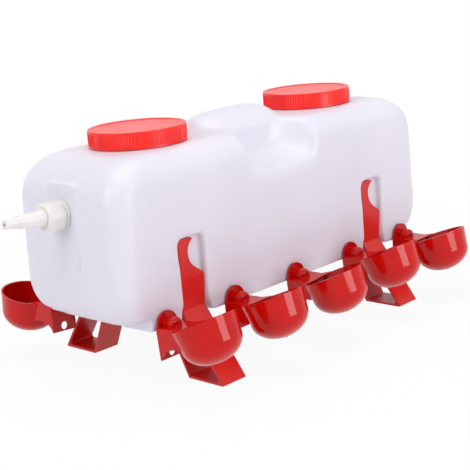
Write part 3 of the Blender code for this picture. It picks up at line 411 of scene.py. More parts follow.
def pressed_rubber():
    """Black rubber of the washers and seals: dull, with a dusty bloom in patches."""
    return moulded("pressed_rubber", 1.52, 3, ("#161617", "#232325"), 1.5, (0.62, 0.78), (0.35, 0.02))[0]


def drawn_stainless():
    """Drawn stainless wire of the arm's pin: bright, with drawing lines along it."""
    material, tree, shader, point = new_plastic("drawn_stainless", 1.45)
    shade_between(tree, shader, cloud(tree, point, 2 * MM), "#B4B2AE", "#C6C4C0")
    shader.inputs["Metallic"].default_value = 1.0
    stretched = add_node(tree, "ShaderNodeMapping", {"Vector": point, "Scale": (1.0, 0.04, 1.0)})
    lines = cloud(tree, stretched.outputs["Vector"], 0.15 * MM)
    gloss_between(tree, shader, lines, 0.22, 0.34)
    raise_by(tree, shader, lines, 0.003 * MM)
    return material


# Shaping


def new_object(name, data):
    """Put a mesh, lamp or camera into the scene."""
    piece = bpy.data.objects.new(name, data)
    bpy.context.scene.collection.objects.link(piece)
    return piece


def add_object(name, bm):
    """Turn a bmesh into an object with outward faces."""
    bmesh.ops.recalc_face_normals(bm, faces=bm.faces)
    mesh = bpy.data.meshes.new(name)
    bm.to_mesh(mesh)
    bm.free()
    return new_object(name, mesh)


def apply_modifier(piece, kind, **settings):
    """Run one modifier and keep its result as the piece's mesh."""
    modifier = piece.modifiers.new(kind.lower(), kind)
    for name, value in settings.items():
        setattr(modifier, name, value)
    bpy.context.view_layer.update()
    evaluated = piece.evaluated_get(bpy.context.evaluated_depsgraph_get())
    result = bpy.data.meshes.new_from_object(evaluated)
    piece.modifiers.clear()
    old = piece.data
    piece.data = result
    bpy.data.meshes.remove(old)


def combine(target, tool, operation, place=Matrix(), solver="EXACT"):
    """Apply one Boolean of a tool, an object or a bmesh that is carried to a place, and drop the tool."""
    if isinstance(tool, bmesh.types.BMesh):
        tool = add_object("tool", moved(tool, place))
    apply_modifier(target, "BOOLEAN", operation=operation, solver=solver, object=tool)
    bpy.data.objects.remove(tool)


def cut(target, tool, place=Matrix(), solver="EXACT"):
    """Take a tool's shape out of a target."""
    combine(target, tool, "DIFFERENCE", place, solver)


def join(target, tool, place=Matrix(), solver="EXACT"):
    """Add a tool's shape to a target."""
    combine(target, tool, "UNION", place, solver)


def soften(piece, width, steps=2, angle=32.0):
    """Round every edge that is sharper than an angle, as a mould's edges are."""
    bm = bmesh.new()
    bm.from_mesh(piece.data)
    bmesh.ops.remove_doubles(bm, verts=bm.verts, dist=0.004 * MM)
    bmesh.ops.dissolve_limit(bm, angle_limit=math.radians(0.2), verts=bm.verts, edges=bm.edges)
    sharp = [e for e in bm.edges if len(e.link_faces) == 2 and e.calc_face_angle(0.0) > math.radians(angle)]
    bmesh.ops.bevel(bm, geom=sharp, offset=width, offset_type="OFFSET", segments=steps, profile=0.5,
                    affect="EDGES", clamp_overlap=True)
    bm.to_mesh(piece.data)
    bm.free()
    return piece


def skin_of(sections):
    """Quads through closed sections with equal point counts, and their two flat end caps."""
    bm = bmesh.new()
    loops = [[bm.verts.new(point) for point in section] for section in sections]
    count = len(loops[0])
    for lower, upper in zip(loops, loops[1:]):
        for i in range(count):
            j = (i + 1) % count
            bm.faces.new((lower[i], lower[j], upper[j], upper[i]))
    return bm, [bm.faces.new(loops[0]), bm.faces.new(loops[-1])]


def loft(sections):
    """Triangulated skin through closed sections, with flat end caps."""
    bm, ends = skin_of(sections)
    bmesh.ops.triangulate(bm, faces=[face for face in bm.faces if face not in ends])
    return bm


def extrude(outline, start, end, place):
    """Prism of a 2-D outline; place(u, v, w) gives the 3-D point at depth w."""
    return skin_of([[place(u, v, w) for u, v in outline] for w in (start, end)])[0]


def along_x(u, v, w):
    """Outline in Y and Z, depth along X."""
    return (w, u, v)


def along_y(u, v, w):
    """Outline in X and Z, depth along Y."""
    return (u, w, v)


def along_z(u, v, w):
    """Outline in X and Y, depth along Z."""
    return (u, v, w)


def sine(degrees):
    """Sine of an angle in degrees."""
    return math.sin(math.radians(degrees))


def cosine(degrees):
    """Cosine of an angle in degrees."""
    return math.cos(math.radians(degrees))


def turned(degrees, axis):
    """Matrix that turns round one axis of the frame."""
    return Matrix.Rotation(math.radians(degrees), 4, axis)


def arc(centre, radius, start, end, steps):
    """Points on an arc, angles in degrees."""
    angles = [start + (end - start) * i / steps for i in range(steps + 1)]
    return [(centre[0] + radius * cosine(a), centre[1] + radius * sine(a)) for a in angles]


def rounded(corners, steps=8):
    """Outline through (u, v, radius) corners, each rounded by its own radius."""
    outline = []
    count = len(corners)
    for i, (u, v, radius) in enumerate(corners):
        point = Vector((u, v))
        if radius <= 0:
            outline.append((u, v))
            continue
        before = (Vector(corners[i - 1][:2]) - point).normalized()
        after = (Vector(corners[(i + 1) % count][:2]) - point).normalized()
        half = before.angle(after) / 2
        centre = point + (before + after).normalized() * (radius / math.sin(half))
        first = point + before * (radius / math.tan(half)) - centre
        last = point + after * (radius / math.tan(half)) - centre
        sweep = first.angle_signed(last)
        for k in range(steps + 1):
            outline.append(tuple(centre + Matrix.Rotation(-sweep * k / steps, 2) @ first))
    return outline


def ring(half_length, half_width, radius, height, steps):
    """Rounded rectangle lying level, as one section of the tank."""
    corners = [(half_length, half_width, radius), (-half_length, half_width, radius),
               (-half_length, -half_width, radius), (half_length, -half_width, radius)]
    return [(x, y, height) for x, y in rounded(corners, steps)]


def revolve(profile, segments, phase=0.0):
    """Turn a closed (radius, height) profile about Z; points at radius 0 close on the axis."""
    bm = bmesh.new()
    rows = []
    angles = [2 * math.pi * (k + phase) / segments for k in range(segments)]
    for radius, height in profile:
        if radius < 1e-9:
            rows.append([bm.verts.new((0, 0, height))])
        else:
            rows.append([bm.verts.new((radius * math.cos(a), radius * math.sin(a), height)) for a in angles])
    for row, following in zip(rows, rows[1:] + rows[:1]):
        if len(row) == 1 and len(following) == 1:
            continue
        for k in range(segments):
            n = (k + 1) % segments
            corners = [row[k % len(row)], following[k % len(following)],
                       following[n % len(following)], row[n % len(row)]]
            bm.faces.new(list(dict.fromkeys(corners)))
    return bm


def drill(radius, start, end, segments):
    """Round cutter, turned a little so that its facets don't line up with those that it cuts."""
    return revolve([(0, end), (radius, end), (radius, start), (0, start)], segments, 0.37)


def moved(bm, matrix):
    """The same bmesh, carried by a matrix."""
    bmesh.ops.transform(bm, matrix=matrix, verts=bm.verts)
    return bm


def aim(origin, direction):
    """Matrix that carries +Z onto a direction from an origin."""
    return Matrix.Translation(origin) @ Vector(direction).to_track_quat("Z", "Y").to_matrix().to_4x4()


def at(x, y, z):
    """Matrix to a point given from the tank's own middle."""
    return Matrix.Translation(TANK_MIDDLE + Vector((x, y, z)))


def inset(corners, distance):
    """Move every edge of a convex polygon inwards, keeping each corner's radius."""
    middle = sum((Vector(c[:2]) for c in corners), Vector((0, 0))) / len(corners)
    edges = []
    for a, b in zip(corners, corners[1:] + corners[:1]):
        start = Vector(a[:2])
        along = (Vector(b[:2]) - start).normalized()
        inward = Vector((-along.y, along.x))
        if inward.dot(middle - start) < 0:
            inward = -inward
        edges.append((start + inward * distance, along))
    result = []
    for (p, d), (q, e), corner in zip(edges[-1:] + edges[:-1], edges, corners):
        meeting = p + d * ((q - p).cross(e) / d.cross(e))
        result.append((meeting.x, meeting.y, corner[2]))
    return result


def settle(mesh, ease, rounds):
    """Let a skin settle like hot plastic: each point moves towards the middle of its neighbours.

    ease(x, y, z) gives each point's share of the way, from 0, held, to 1.
    """
    count = len(mesh.vertices)
    points = np.empty(count * 3, np.float32)
    mesh.vertices.foreach_get("co", points)
    points = points.reshape(-1, 3).astype(float)
    pairs = np.empty(len(mesh.edges) * 2, np.int32)
    mesh.edges.foreach_get("vertices", pairs)
    a, b = pairs.reshape(-1, 2).T
    joined = np.bincount(a, minlength=count) + np.bincount(b, minlength=count)
    share = ease(*points.T)[:, None]
    for step in range(rounds):
        total = np.stack([np.bincount(a, points[b, k], count) + np.bincount(b, points[a, k], count)
                          for k in range(3)], 1)
        points += (total / joined[:, None] - points) * share
    mesh.vertices.foreach_set("co", points.astype(np.float32).ravel())
    mesh.update()


def show(piece, material, body, slot, *nodes):
    """Finish a piece: smooth shading that keeps flats flat, its plastic, its body and its CAD nodes."""
    piece.data.shade_smooth()
    piece.data.set_sharp_from_angle(angle=math.radians(SHARP_ANGLE))
    apply_modifier(piece, "WEIGHTED_NORMAL", keep_sharp=True, weight=50)
    piece.data.name = piece.name
    piece.data.materials.clear()
    piece.data.materials.append(material)
    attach(piece, body)
    if nodes:
        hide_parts(*nodes)
    return piece


def twin(piece, name, place, body, slot, *nodes):
    """Another piece of the same moulding at its own place."""
    copy = new_object(name, piece.data)
    copy.matrix_world = place
    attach(copy, body)
    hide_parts(*nodes)
    return copy


# The tank


def roll(height, top_radius, bottom_radius):
    """How far a face has turned in where it rolls over into the top or the bottom."""
    over = max(0.0, height - (TANK_TOP - top_radius))
    under = max(0.0, TANK_BOTTOM + bottom_radius - height)
    top = top_radius - math.sqrt(max(0.0, top_radius ** 2 - over ** 2))
    return top + bottom_radius - math.sqrt(max(0.0, bottom_radius ** 2 - under ** 2))


def end_reach(height):
    """Half of the tank's length at a height: draft, and the rolls at top and bottom."""
    draft = max(0.0, height - (TANK_BOTTOM + END_BOTTOM_RADIUS)) * math.tan(math.radians(END_DRAFT))
    return HALF_LENGTH - draft - roll(height, END_TOP_RADIUS, END_BOTTOM_RADIUS)


def side_reach(height):
    """Half of the tank's width at a height: the top shoulder and the long chamfer below."""
    chamfer = max(0.0, CHAMFER_TOP - height) / CHAMFER_HEIGHT * (HALF_WIDTH - FLOOR_WIDTH / 2)
    return HALF_WIDTH - chamfer - roll(height, SHOULDER_RADIUS, 0.0)


def tank_heights():
    """Heights of the tank's sections, close together where its faces roll over."""
    angles = range(0, 91, 9)
    heights = [TANK_BOTTOM + END_BOTTOM_RADIUS * (1 - cosine(a)) for a in angles]
    heights += [CHAMFER_TOP, *MIDDLE_HEIGHTS]
    for radius in (END_TOP_RADIUS, SHOULDER_RADIUS):
        heights += [TANK_TOP - radius * (1 - sine(a)) for a in angles]
    return sorted(set(round(h, 5) for h in heights))


def handle_block():
    """The raised handle on the tank's top: a soft crown that falls away to both hand pockets."""
    half = HANDLE_WIDTH / 2
    sections = [ring(HANDLE_LENGTH / 2, half, HANDLE_CORNER, TANK_TOP - HANDLE_SUNK, 8)]
    for step in range(CROWN_STEPS + 1):
        rise = step / CROWN_STEPS
        end = HANDLE_END * (1 - math.sqrt(max(0.0, 1 - rise ** 2)))
        side = max(half * math.acos(2 * rise - 1) / math.pi, half * CREST_SHARE)
        sections.append(ring(HANDLE_LENGTH / 2 - end, side, min(HANDLE_CORNER, 0.95 * side),
                             TANK_TOP + HANDLE_HEIGHT * rise, 8))
    return loft(sections)


def pocket_block(side):
    """Space of one hand pocket, whose back sweeps round into its ends."""
    sections = []
    back = GRIP_WALL_SPACING / 2
    reaches = [back + POCKET_SWEEP_DEPTH * (1 - cosine(a)) for a in range(0, 91, 9)]
    for reach in reaches + [HALF_WIDTH + PAST]:
        fall = POCKET_SLOPE * (reach - back) / (HALF_WIDTH - back)
        floor = TANK_TOP - POCKET_DEPTH + POCKET_SLOPE - fall
        short = max(0.0, 1 - (reach - back) / POCKET_SWEEP_DEPTH)
        narrow = POCKET_SWEEP * (1 - math.sqrt(1 - short ** 2))
        low = POCKET_BOTTOM_WIDTH / 2 - narrow
        high = POCKET_TOP_WIDTH / 2 - narrow
        top = TANK_TOP + HANDLE_HEIGHT + PAST
        soft = min(POCKET_CORNER, 0.9 * low)
        corners = [(-low, floor, soft), (low, floor, soft), (high, TANK_TOP, 0),
                   (high, top, 0), (-high, top, 0), (-high, TANK_TOP, 0)]
        sections.append([(x, side * reach, z) for x, z in rounded(corners, 8)])
    return loft(sections)


def channel_block(side, centre):
    """Space that the tank leaves for one leg's strap, open at the bottom and flared beside the hook."""
    back = STRAP_FACE - STRAP_LEAN - LEG_PLATE - FIT
    bottom = TANK_BOTTOM - CHANNEL_PAST
    step = CHANNEL_STEP + CHANNEL_CORNER
    sections = []
    for reach, flare in ((back, 0.0), (HALF_WIDTH - 3 * MM, 0.5 * MM), (HALF_WIDTH + PAST, CHANNEL_FLARE)):
        narrow = LEG_WIDTH / 2 + CHANNEL_MARGIN
        half = narrow + flare
        top = STRAP_TOP + CHANNEL_MARGIN + flare / 2
        corners = [(-narrow, bottom, 0), (narrow, bottom, 0), (narrow, CHANNEL_STEP, 0), (half, step, 0),
                   (half, top, CHANNEL_CORNER), (-half, top, CHANNEL_CORNER), (-half, step, 0),
                   (-narrow, CHANNEL_STEP, 0)]
        sections.append([(centre + x, side * reach, z) for x, z in rounded(corners, 4)])
    return loft(sections)


def seat_block(side, start, end):
    """Block with the flat seat behind a row of cups, filling the long chamfer between two legs."""
    reach = HALF_WIDTH + SEAT_PROUD
    inner = FLOOR_WIDTH / 2 - 6 * MM
    outline = [(inner, TANK_BOTTOM + 0.5 * MM), (reach - SEAT_EDGE, TANK_BOTTOM + SEAT_RISE),
               (reach, TANK_BOTTOM + SEAT_RISE + SEAT_EDGE), (reach, CUP_AXIS_HEIGHT + SEAT_HEIGHT),
               (inner, CUP_AXIS_HEIGHT + SEAT_HEIGHT)]
    return extrude([(side * y, z) for y, z in outline], start * MM, end * MM, along_x)


def inlet_frame():
    """Frame on the middle of the inlet hole, with +Z pointing out along the inlet."""
    middle = Matrix.Translation((-end_reach(INLET_HEIGHT) - PAD_RAISE, 0, INLET_HEIGHT))
    return middle @ turned(INLET_TILT - 90, "Y")


def pad_block():
    """Flat pad round the inlet, square to the inlet's axis, with a fine bevel at its face."""
    tilt = cosine(INLET_TILT)
    half = PAD_WIDTH / 2
    sections = []
    for depth, spread in ((-16 * MM, PAD_DRAFT), (-0.8 * MM, 0.0), (0.0, -0.6 * MM)):
        low, high, wide = -PAD_BELOW / tilt - spread, PAD_ABOVE / tilt + spread, half + spread
        corners = [(low, -wide, PAD_CORNER), (high, -wide, PAD_CORNER), (high, wide, PAD_CORNER),
                   (low, wide, PAD_CORNER)]
        sections.append([(u, v, depth) for u, v in rounded(corners, 4)])
    return moved(loft(sections), inlet_frame())


def cup_centres():
    """Places of the five cups of a row, along the tank."""
    return [(i - 2) * CUP_PITCH for i in range(5)]


def lid_centres():
    """Side and place of each lid, along the tank."""
    return (("left", -LID_SPACING / 2), ("right", LID_SPACING / 2))


def rising(values, low, high):
    """0 below low, 1 above high and a soft rise between them; low and high in mm."""
    t = np.clip((values - low * MM) / (high * MM - low * MM), 0, 1)
    return t * t * (3 - 2 * t)


def round_every_edge(x, y, z):
    """Share of settling for the whole skin, less round the pad, whose mould insert kept it crisp."""
    by_pad = (1 - rising(np.abs(y), 26, 34)) * (1 - rising(x, -233, -222))
    return SETTLE_SHARE - 0.46 * by_pad * rising(z, 108, 114)


def round_the_hand_pockets(x, y, z):
    """Share of settling for the crown's foot and the pockets' broad rims, less on the crown's near edges."""
    x, y = np.abs(x), np.abs(y)
    near = (1 - rising(x, 66, 78)) * rising(z, 168, 178)
    back = rising(y, 24, 32) * (1 - rising(y, 46, 56)) * (1 - rising(x, 0, 56))
    return SETTLE_SHARE * near * (1 - 0.8 * back)


def round_the_channels(x, y, z):
    """Share of settling for the soft rims of the channels that take the legs."""
    beside = 1 - rising(np.abs(np.abs(x) - LEG_SPACING / 2), 24, 32)
    return SETTLE_SHARE * beside * rising(np.abs(y), 60, 66) * (1 - rising(z, 150, 160))


def shrunk_copy(skin):
    """The tank's inside: a coarser copy of its skin, drawn in by the wall's thickness."""
    lining = new_object("lining", skin.data.copy())
    apply_modifier(lining, "REMESH", mode="VOXEL", voxel_size=LINING_SPACING, adaptivity=0.0)
    bm = bmesh.new()
    bm.from_mesh(lining.data)
    bm.normal_update()
    for vert in bm.verts:
        vert.co -= vert.normal * TANK_WALL
    bm.to_mesh(lining.data)
    bm.free()
    return lining


def build_tank(material):
    """Blown skin with soft edges, hollow, with its necks and holes."""
    skin = add_object("tank_skin", loft([ring(end_reach(z), side_reach(z), CORNER_RADIUS, z, 10)
                                         for z in tank_heights()]))
    join(skin, handle_block())
    join(skin, pad_block())
    for side in (-1, 1):
        for start, end in SEAT_SPANS:
            join(skin, seat_block(side, start, end))
        cut(skin, pocket_block(side))
        for centre in (-LEG_SPACING / 2, LEG_SPACING / 2):
            cut(skin, channel_block(side, centre))
    apply_modifier(skin, "REMESH", mode="VOXEL", voxel_size=SKIN_SPACING, adaptivity=0.0)
    settle(skin.data, round_every_edge, SKIN_ROUNDS)
    settle(skin.data, round_the_hand_pockets, POCKET_ROUNDS)
    settle(skin.data, round_the_channels, CHANNEL_ROUNDS)
    lining = shrunk_copy(skin)
    rim = arc((NECK_RADIUS - NECK_SOFTNESS, NECK_TOP - NECK_SOFTNESS), NECK_SOFTNESS, 90, 0, 4)
    for _, centre in lid_centres():
        neck = revolve([(0, NECK_TOP)] + rim + [(NECK_RADIUS, TANK_TOP - MM), (0, TANK_TOP - MM)], 128)
        join(skin, neck, Matrix.Translation((centre, 0, 0)), "MANIFOLD")
    cut(skin, lining, solver="MANIFOLD")
    for _, centre in lid_centres():
        hole = drill(NECK_RADIUS - NECK_WALL, TANK_TOP - 2 * TANK_WALL, NECK_TOP + PAST, 128)
        cut(skin, hole, Matrix.Translation((centre, 0, 0)), "MANIFOLD")
    for side in (-1, 1):
        for centre in cup_centres():
            hole = drill(STEM_DIAMETER / 2 + STEM_CLEARANCE, -3 * TANK_WALL, PAST, 32)
            place = aim((centre, side * HALF_WIDTH, CUP_AXIS_HEIGHT + STEM_RISE), (0, side, 0))
            cut(skin, hole, place, "MANIFOLD")
    hole = drill(SHANK_DIAMETER / 2 + SHANK_CLEARANCE, -3 * TANK_WALL, PAST, 48)
    cut(skin, hole, inlet_frame(), "MANIFOLD")
    skin.data.transform(at(0, 0, 0))
    return show(skin, material, "drinker", "white_polyethylene", "tank")


def thread(radius, start):
    """Screw thread on a neck: a rounded rib that climbs and runs out at both ends."""
    steps = int(96 * THREAD_TURNS)
    half, crest_half = THREAD_WIDTH / 2, THREAD_WIDTH / 5
    root, foot = radius - 0.3 * MM, radius + 0.1 * THREAD_HEIGHT
    sections = []
    for i in range(steps + 1):
        turn = 2 * math.pi * THREAD_TURNS * i / steps
        middle = start + THREAD_PITCH * THREAD_TURNS * i / steps
        crest = radius + THREAD_HEIGHT * max(min(1.0, i / 8, (steps - i) / 8), 0.05)
        outline = [(root, -half), (foot, -half), (crest, -crest_half), (crest, crest_half), (foot, half),
                   (root, half)]
        sections.append([(r * math.cos(turn), r * math.sin(turn), middle + z) for r, z in outline])
    return loft(sections)


def build_neck_threads(material):
    """One thread on each neck, under the lid."""
    for name, centre in lid_centres():
        rib = thread(NECK_RADIUS, TANK_TOP + THREAD_START)
        piece = add_object(f"neck_thread_{name}", moved(rib, at(centre, 0, 0)))
        show(piece, material, "drinker", "white_polyethylene")


# The lids


def grip_crest(place):
    """Height of the grip's outline, 0 to 1, at a place counted in ribs round the lid."""
    per_group = GRIP_RIBS // GRIP_GROUPS
    within = (place + GRIP_GAP / 2) % per_group
    if within < GRIP_GAP:
        return 0.0
    return max(0.0, math.cos(2 * math.pi * (place % 1.0 - 0.5))) ** 0.8


def build_lids(material):
    """Screw caps with a recessed top, a smooth band, groups of grip ribs and a bead round the bottom."""
    radius = LID_DIAMETER / 2
    floor = LID_HEIGHT - LID_RIM_HEIGHT
    roof = LID_ROOF - LID_BOTTOM
    inner = radius - GRIP_DEPTH - LID_WALL
    soft = 0.9 * MM
    recess = radius - LID_RIM_WIDTH
    band = radius - 0.3 * MM
    valley = radius - GRIP_DEPTH
    profile = [(0.5 * MM, floor, 0), (recess * 0.5, floor, 0), (recess - 1.6 * MM, floor, 0),
               (recess - 1 * MM, floor + 0.1 * MM, 0), (recess - 0.3 * MM, LID_HEIGHT - 0.25 * MM, 0),
               (recess + 0.2 * MM, LID_HEIGHT, 0)]
    profile += [(u, z, 0) for u, z in arc((band - soft, LID_HEIGHT - soft), soft, 90, 0, 6)]
    profile += [(band, 14.9 * MM, 0), (valley + 0.1 * MM, 14.6 * MM, 0), (valley, 14.2 * MM, 0.7)]
    profile += [(valley, z * MM, 1) for z in (13.8, 10.0, 6.5, 3.0)]
    profile += [(valley, 2.4 * MM, 0.7), (valley, 2.1 * MM, 0), (radius - 0.1 * MM, 1.8 * MM, 0),
                (radius, 1.3 * MM, 0), (radius, 0.5 * MM, 0), (radius - 0.4 * MM, 0.0, 0),
                (inner + 0.3 * MM, 0.0, 0), (inner, 0.4 * MM, 0),
                (inner, roof - 0.6 * MM, 0), (inner - 0.6 * MM, roof, 0), (0.5 * MM, roof, 0)]
    per_rib = 8
    count = GRIP_RIBS * per_rib
    spokes = [(2 * math.pi * k / count, grip_crest(k / per_rib)) for k in range(count)]
    bm = bmesh.new()
    rows = []
    for reach, height, ribbed in profile:
        spots = [(reach + GRIP_DEPTH * ribbed * crest, angle) for angle, crest in spokes]
        rows.append([bm.verts.new((r * math.cos(a), r * math.sin(a), height)) for r, a in spots])
    for row, following in zip(rows, rows[1:]):
        for k in range(count):
            n = (k + 1) % count
            bm.faces.new((row[k], following[k], following[n], row[n]))
    bm.faces.new(rows[0])
    bm.faces.new(rows[-1])
    lid = add_object("lid_cap_left", bm)
    (_, left), (_, right) = lid_centres()
    lid.matrix_world = at(left, 0, LID_BOTTOM) @ turned(LID_TURNED["left"], "Z")
    show(lid, material, "cap_left", "red_lid_polypropylene", "lid_left")
    twin(lid, "lid_cap_right", at(right, 0, LID_BOTTOM) @ turned(LID_TURNED["right"], "Z"), "cap_right",
         "red_lid_polypropylene", "lid_right")


# The drinking cups


def bowl_profile(wall):
    """Outer outline of the bowl, or with a wall thickness its inside, from above the rim to the bottom."""
    reach = BOWL_RADIUS - wall
    foot = BOWL_RADIUS - BOWL_TAPER - wall
    belly = BOWL_DEPTH - BOWL_WALL_DEPTH - wall
    above = BOWL_SHOULDER + (PAST if wall else 0.0)
    crease = 0.35 * MM              # the straight wall turns into the belly over this height
    taper = BOWL_TAPER * crease / BOWL_WALL_DEPTH
    points = [(0, above), (reach, above), (reach, 0), (foot + taper, crease - BOWL_WALL_DEPTH),
              (foot, -BOWL_WALL_DEPTH - crease)]
    points += [(foot * cosine(a), -BOWL_WALL_DEPTH - belly * sine(a)) for a in range(6, 85, 6)]
    return points + [(0, -BOWL_DEPTH + wall)]


def build_bowl(bowl_place, roof):
    """The bowl alone: its rim rises away from the tank, and a level shelf roofs the side by the tank."""
    bowl = add_object("bowl", moved(revolve(bowl_profile(0.0), 96, 0.5), bowl_place))
    far = 3 * BOWL_RADIUS
    slope = (CUP_REACH + far * cosine(BOWL_TILT), roof + far * sine(BOWL_TILT))
    open_air = [(-far, roof), (CUP_REACH, roof), slope, (slope[0], far), (-far, far)]
    cut(bowl, extrude(open_air, -far, far, along_x))
    inside = add_object("inside", moved(revolve(bowl_profile(BOWL_WALL), 96, 0.5), bowl_place))
    shelf = [(-far, roof - BOWL_WALL), (CUP_REACH, roof - BOWL_WALL), (CUP_REACH, far), (-far, far)]
    cut(inside, extrude(shelf, -far, far, along_x))
    cut(bowl, inside)
    return soften(bowl, LIP_SOFTNESS, 3, 40.0)


def build_bracket(top):
    """Plate under the shelf, back plate and two webs with an arch below each."""
    half = CUP_WIDTH / 2
    foot = -CUP_BACK_HEIGHT
    reach = CUP_REACH - 0.6 * MM
    rise = top - CUP_WEB_ARCH - foot
    span = CUP_REACH - 8 * MM
    arch = [(CUP_PLATE + span * (1 - cosine(a)), foot + rise * sine(a)) for a in range(0, 96, 8)]
    side_view = [(0, top), (0, foot)] + arch + [(reach, arch[-1][1]), (reach, top)]
    cup = add_object("cup_moulding", extrude(side_view, -half, half, along_x))
    room = [(CUP_PLATE, top - CUP_PLATE), (CUP_PLATE, foot - PAST), (reach + PAST, foot - PAST),
            (reach + PAST, top - CUP_PLATE)]
    cut(cup, extrude(room, CUP_PLATE - half, half - CUP_PLATE, along_x))
    return soften(cup, BRACKET_SOFTNESS)


def boss_profile():
    """Outline of the water boss: a blunt end, a slight waist and a foot in the back plate."""
    blunt = CUP_BOSS_RADIUS * 0.55
    waist = CUP_BOSS_RADIUS - 0.5 * MM
    end = [(CUP_BOSS_RADIUS * cosine(a) ** 0.8, CUP_BOSS_LENGTH - blunt + blunt * sine(a) ** 0.9)
           for a in range(84, -1, -7)]
    return [(0, CUP_BOSS_LENGTH)] + end + [
        (CUP_BOSS_RADIUS, 8.5 * MM), (waist, 6.5 * MM), (waist, 3.4 * MM),
        (CUP_BOSS_RADIUS, CUP_PLATE / 2), (0, CUP_PLATE / 2)]


def build_cup_moulding():
    """One moulding: bowl, bracket, ear, boss and stem; +Y points away from the tank."""
    top = -CUP_PLATE_DROP
    roof = top - 0.1 * MM
    rim = (0, CUP_REACH + BOWL_OFFSET * cosine(BOWL_TILT), roof + BOWL_OFFSET * sine(BOWL_TILT))
    bowl_place = Matrix.Translation(rim) @ turned(BOWL_TILT, "X")
    cup = build_bracket(top)
    ear = arc((0, 0), CUP_EAR_RADIUS, 0, 180, 40) + [(-CUP_EAR_RADIUS, top - MM), (CUP_EAR_RADIUS, top - MM)]
    ear = add_object("ear", extrude(ear, 0.02 * MM, CUP_PLATE + 0.03 * MM, along_y))
    join(cup, soften(ear, EAR_SOFTNESS))
    join(cup, revolve(boss_profile(), 48, 0.5), aim((0, 0, 0), (0, 1, 0)))
    radius = STEM_DIAMETER / 2
    start = CUP_PLATE * 0.7
    stem = [(0, start), (radius, start), (radius, 0.6 * MM - STEM_LENGTH), (radius - 0.6 * MM, -STEM_LENGTH),
            (0, -STEM_LENGTH)]
    join(cup, revolve(stem, 32), aim((0, 0, STEM_RISE), (0, 1, 0)))
    # a duct leads down from the boss into the bowl
    wall = CUP_PLATE * 0.8
    bore = STEM_BORE / 2
    bend = CUP_BOSS_LENGTH / 2
    spout_start = Vector((0, bend, top - wall - bore - FIT))
    fall = Vector((0, CUP_REACH, -SPOUT_DROP)) - spout_start
    spout = aim(spout_start, fall)
    duct = [(0, fall.length), (bore + wall, fall.length), (bore + wall, 0), (0, 0)]
    join(cup, revolve(duct, 24, 0.21), spout)
    join(cup, build_bowl(bowl_place, roof))
    # the waterway: in through the stem, down inside the boss and out along the duct
    mouth = Vector((0, -STEM_LENGTH - PAST, STEM_RISE))
    way = Vector((0, bend + 2 * MM, bore)) - mouth
    cut(cup, drill(bore, 0, way.length, 20), aim(mouth, way))
    cut(cup, drill(STEM_BORE * 0.45, spout_start.z - MM, bore, 20), Matrix.Translation((0, bend, 0)))
    cut(cup, drill(STEM_BORE * 0.47, -0.7 * MM, fall.length + PAST, 20), spout)
    hole = drill(CUP_FIXING_HOLE / 2, -PAST, CUP_PLATE + PAST, 32)
    cut(cup, hole, aim((0, 0, -CUP_FIXING_DROP), (0, 1, 0)))
    gate = [(0, -BOWL_DEPTH - 0.6 * MM), (0.9 * MM, -BOWL_DEPTH - 0.5 * MM),
            (1.2 * MM, -BOWL_DEPTH + 0.6 * MM), (0, -BOWL_DEPTH + 0.6 * MM)]
    join(cup, revolve(gate, 16), bowl_place)
    return cup


def lean_room(lean):
    """Room that a leaning cup's gasket or nut needs towards the tank's wall."""
    return (STEM_RISE + GASKET_DIAMETER / 2 + MM) * sine(abs(lean))


def cup_place(side, centre, lean, roll_angle):
    """Frame of one cup on its stem, +Y away from the tank.

    A far cup stands off by the room that its lean needs; a near cup's rubber gasket takes up its lean.
    """
    room = lean_room(lean) if lean < -2 else lean_room(NEAR_CUP_ROOM)
    reach = HALF_WIDTH + SEAT_PROUD + room + GASKET_THICKNESS + 2 * FIT
    place = at(centre, side * reach, CUP_AXIS_HEIGHT) @ turned(0 if side > 0 else 180, "Z")
    return place @ turned(lean, "X") @ turned(-side * roll_angle, "Y")


def build_cups(material):
    """Ten copies of the moulding, each set into its own mesh as it hangs on the tank."""
    moulding = build_cup_moulding()
    rows = ((-1, "near", NEAR_CUP_LEAN, NEAR_CUP_ROLL), (1, "far", FAR_CUP_LEAN, FAR_CUP_ROLL))
    for side, row, leans, rolls in rows:
        for i, centre in enumerate(cup_centres()):
            number = f"{row}_{i + 1}"
            cup = new_object(f"drinking_cup_{number}", moulding.data.copy())
            cup.data.transform(cup_place(side, centre, leans[i], rolls[i]))
            show(cup, material, "drinker", "red_cup_polypropylene", f"cup_{number}")
    bpy.data.objects.remove(moulding)


# The legs


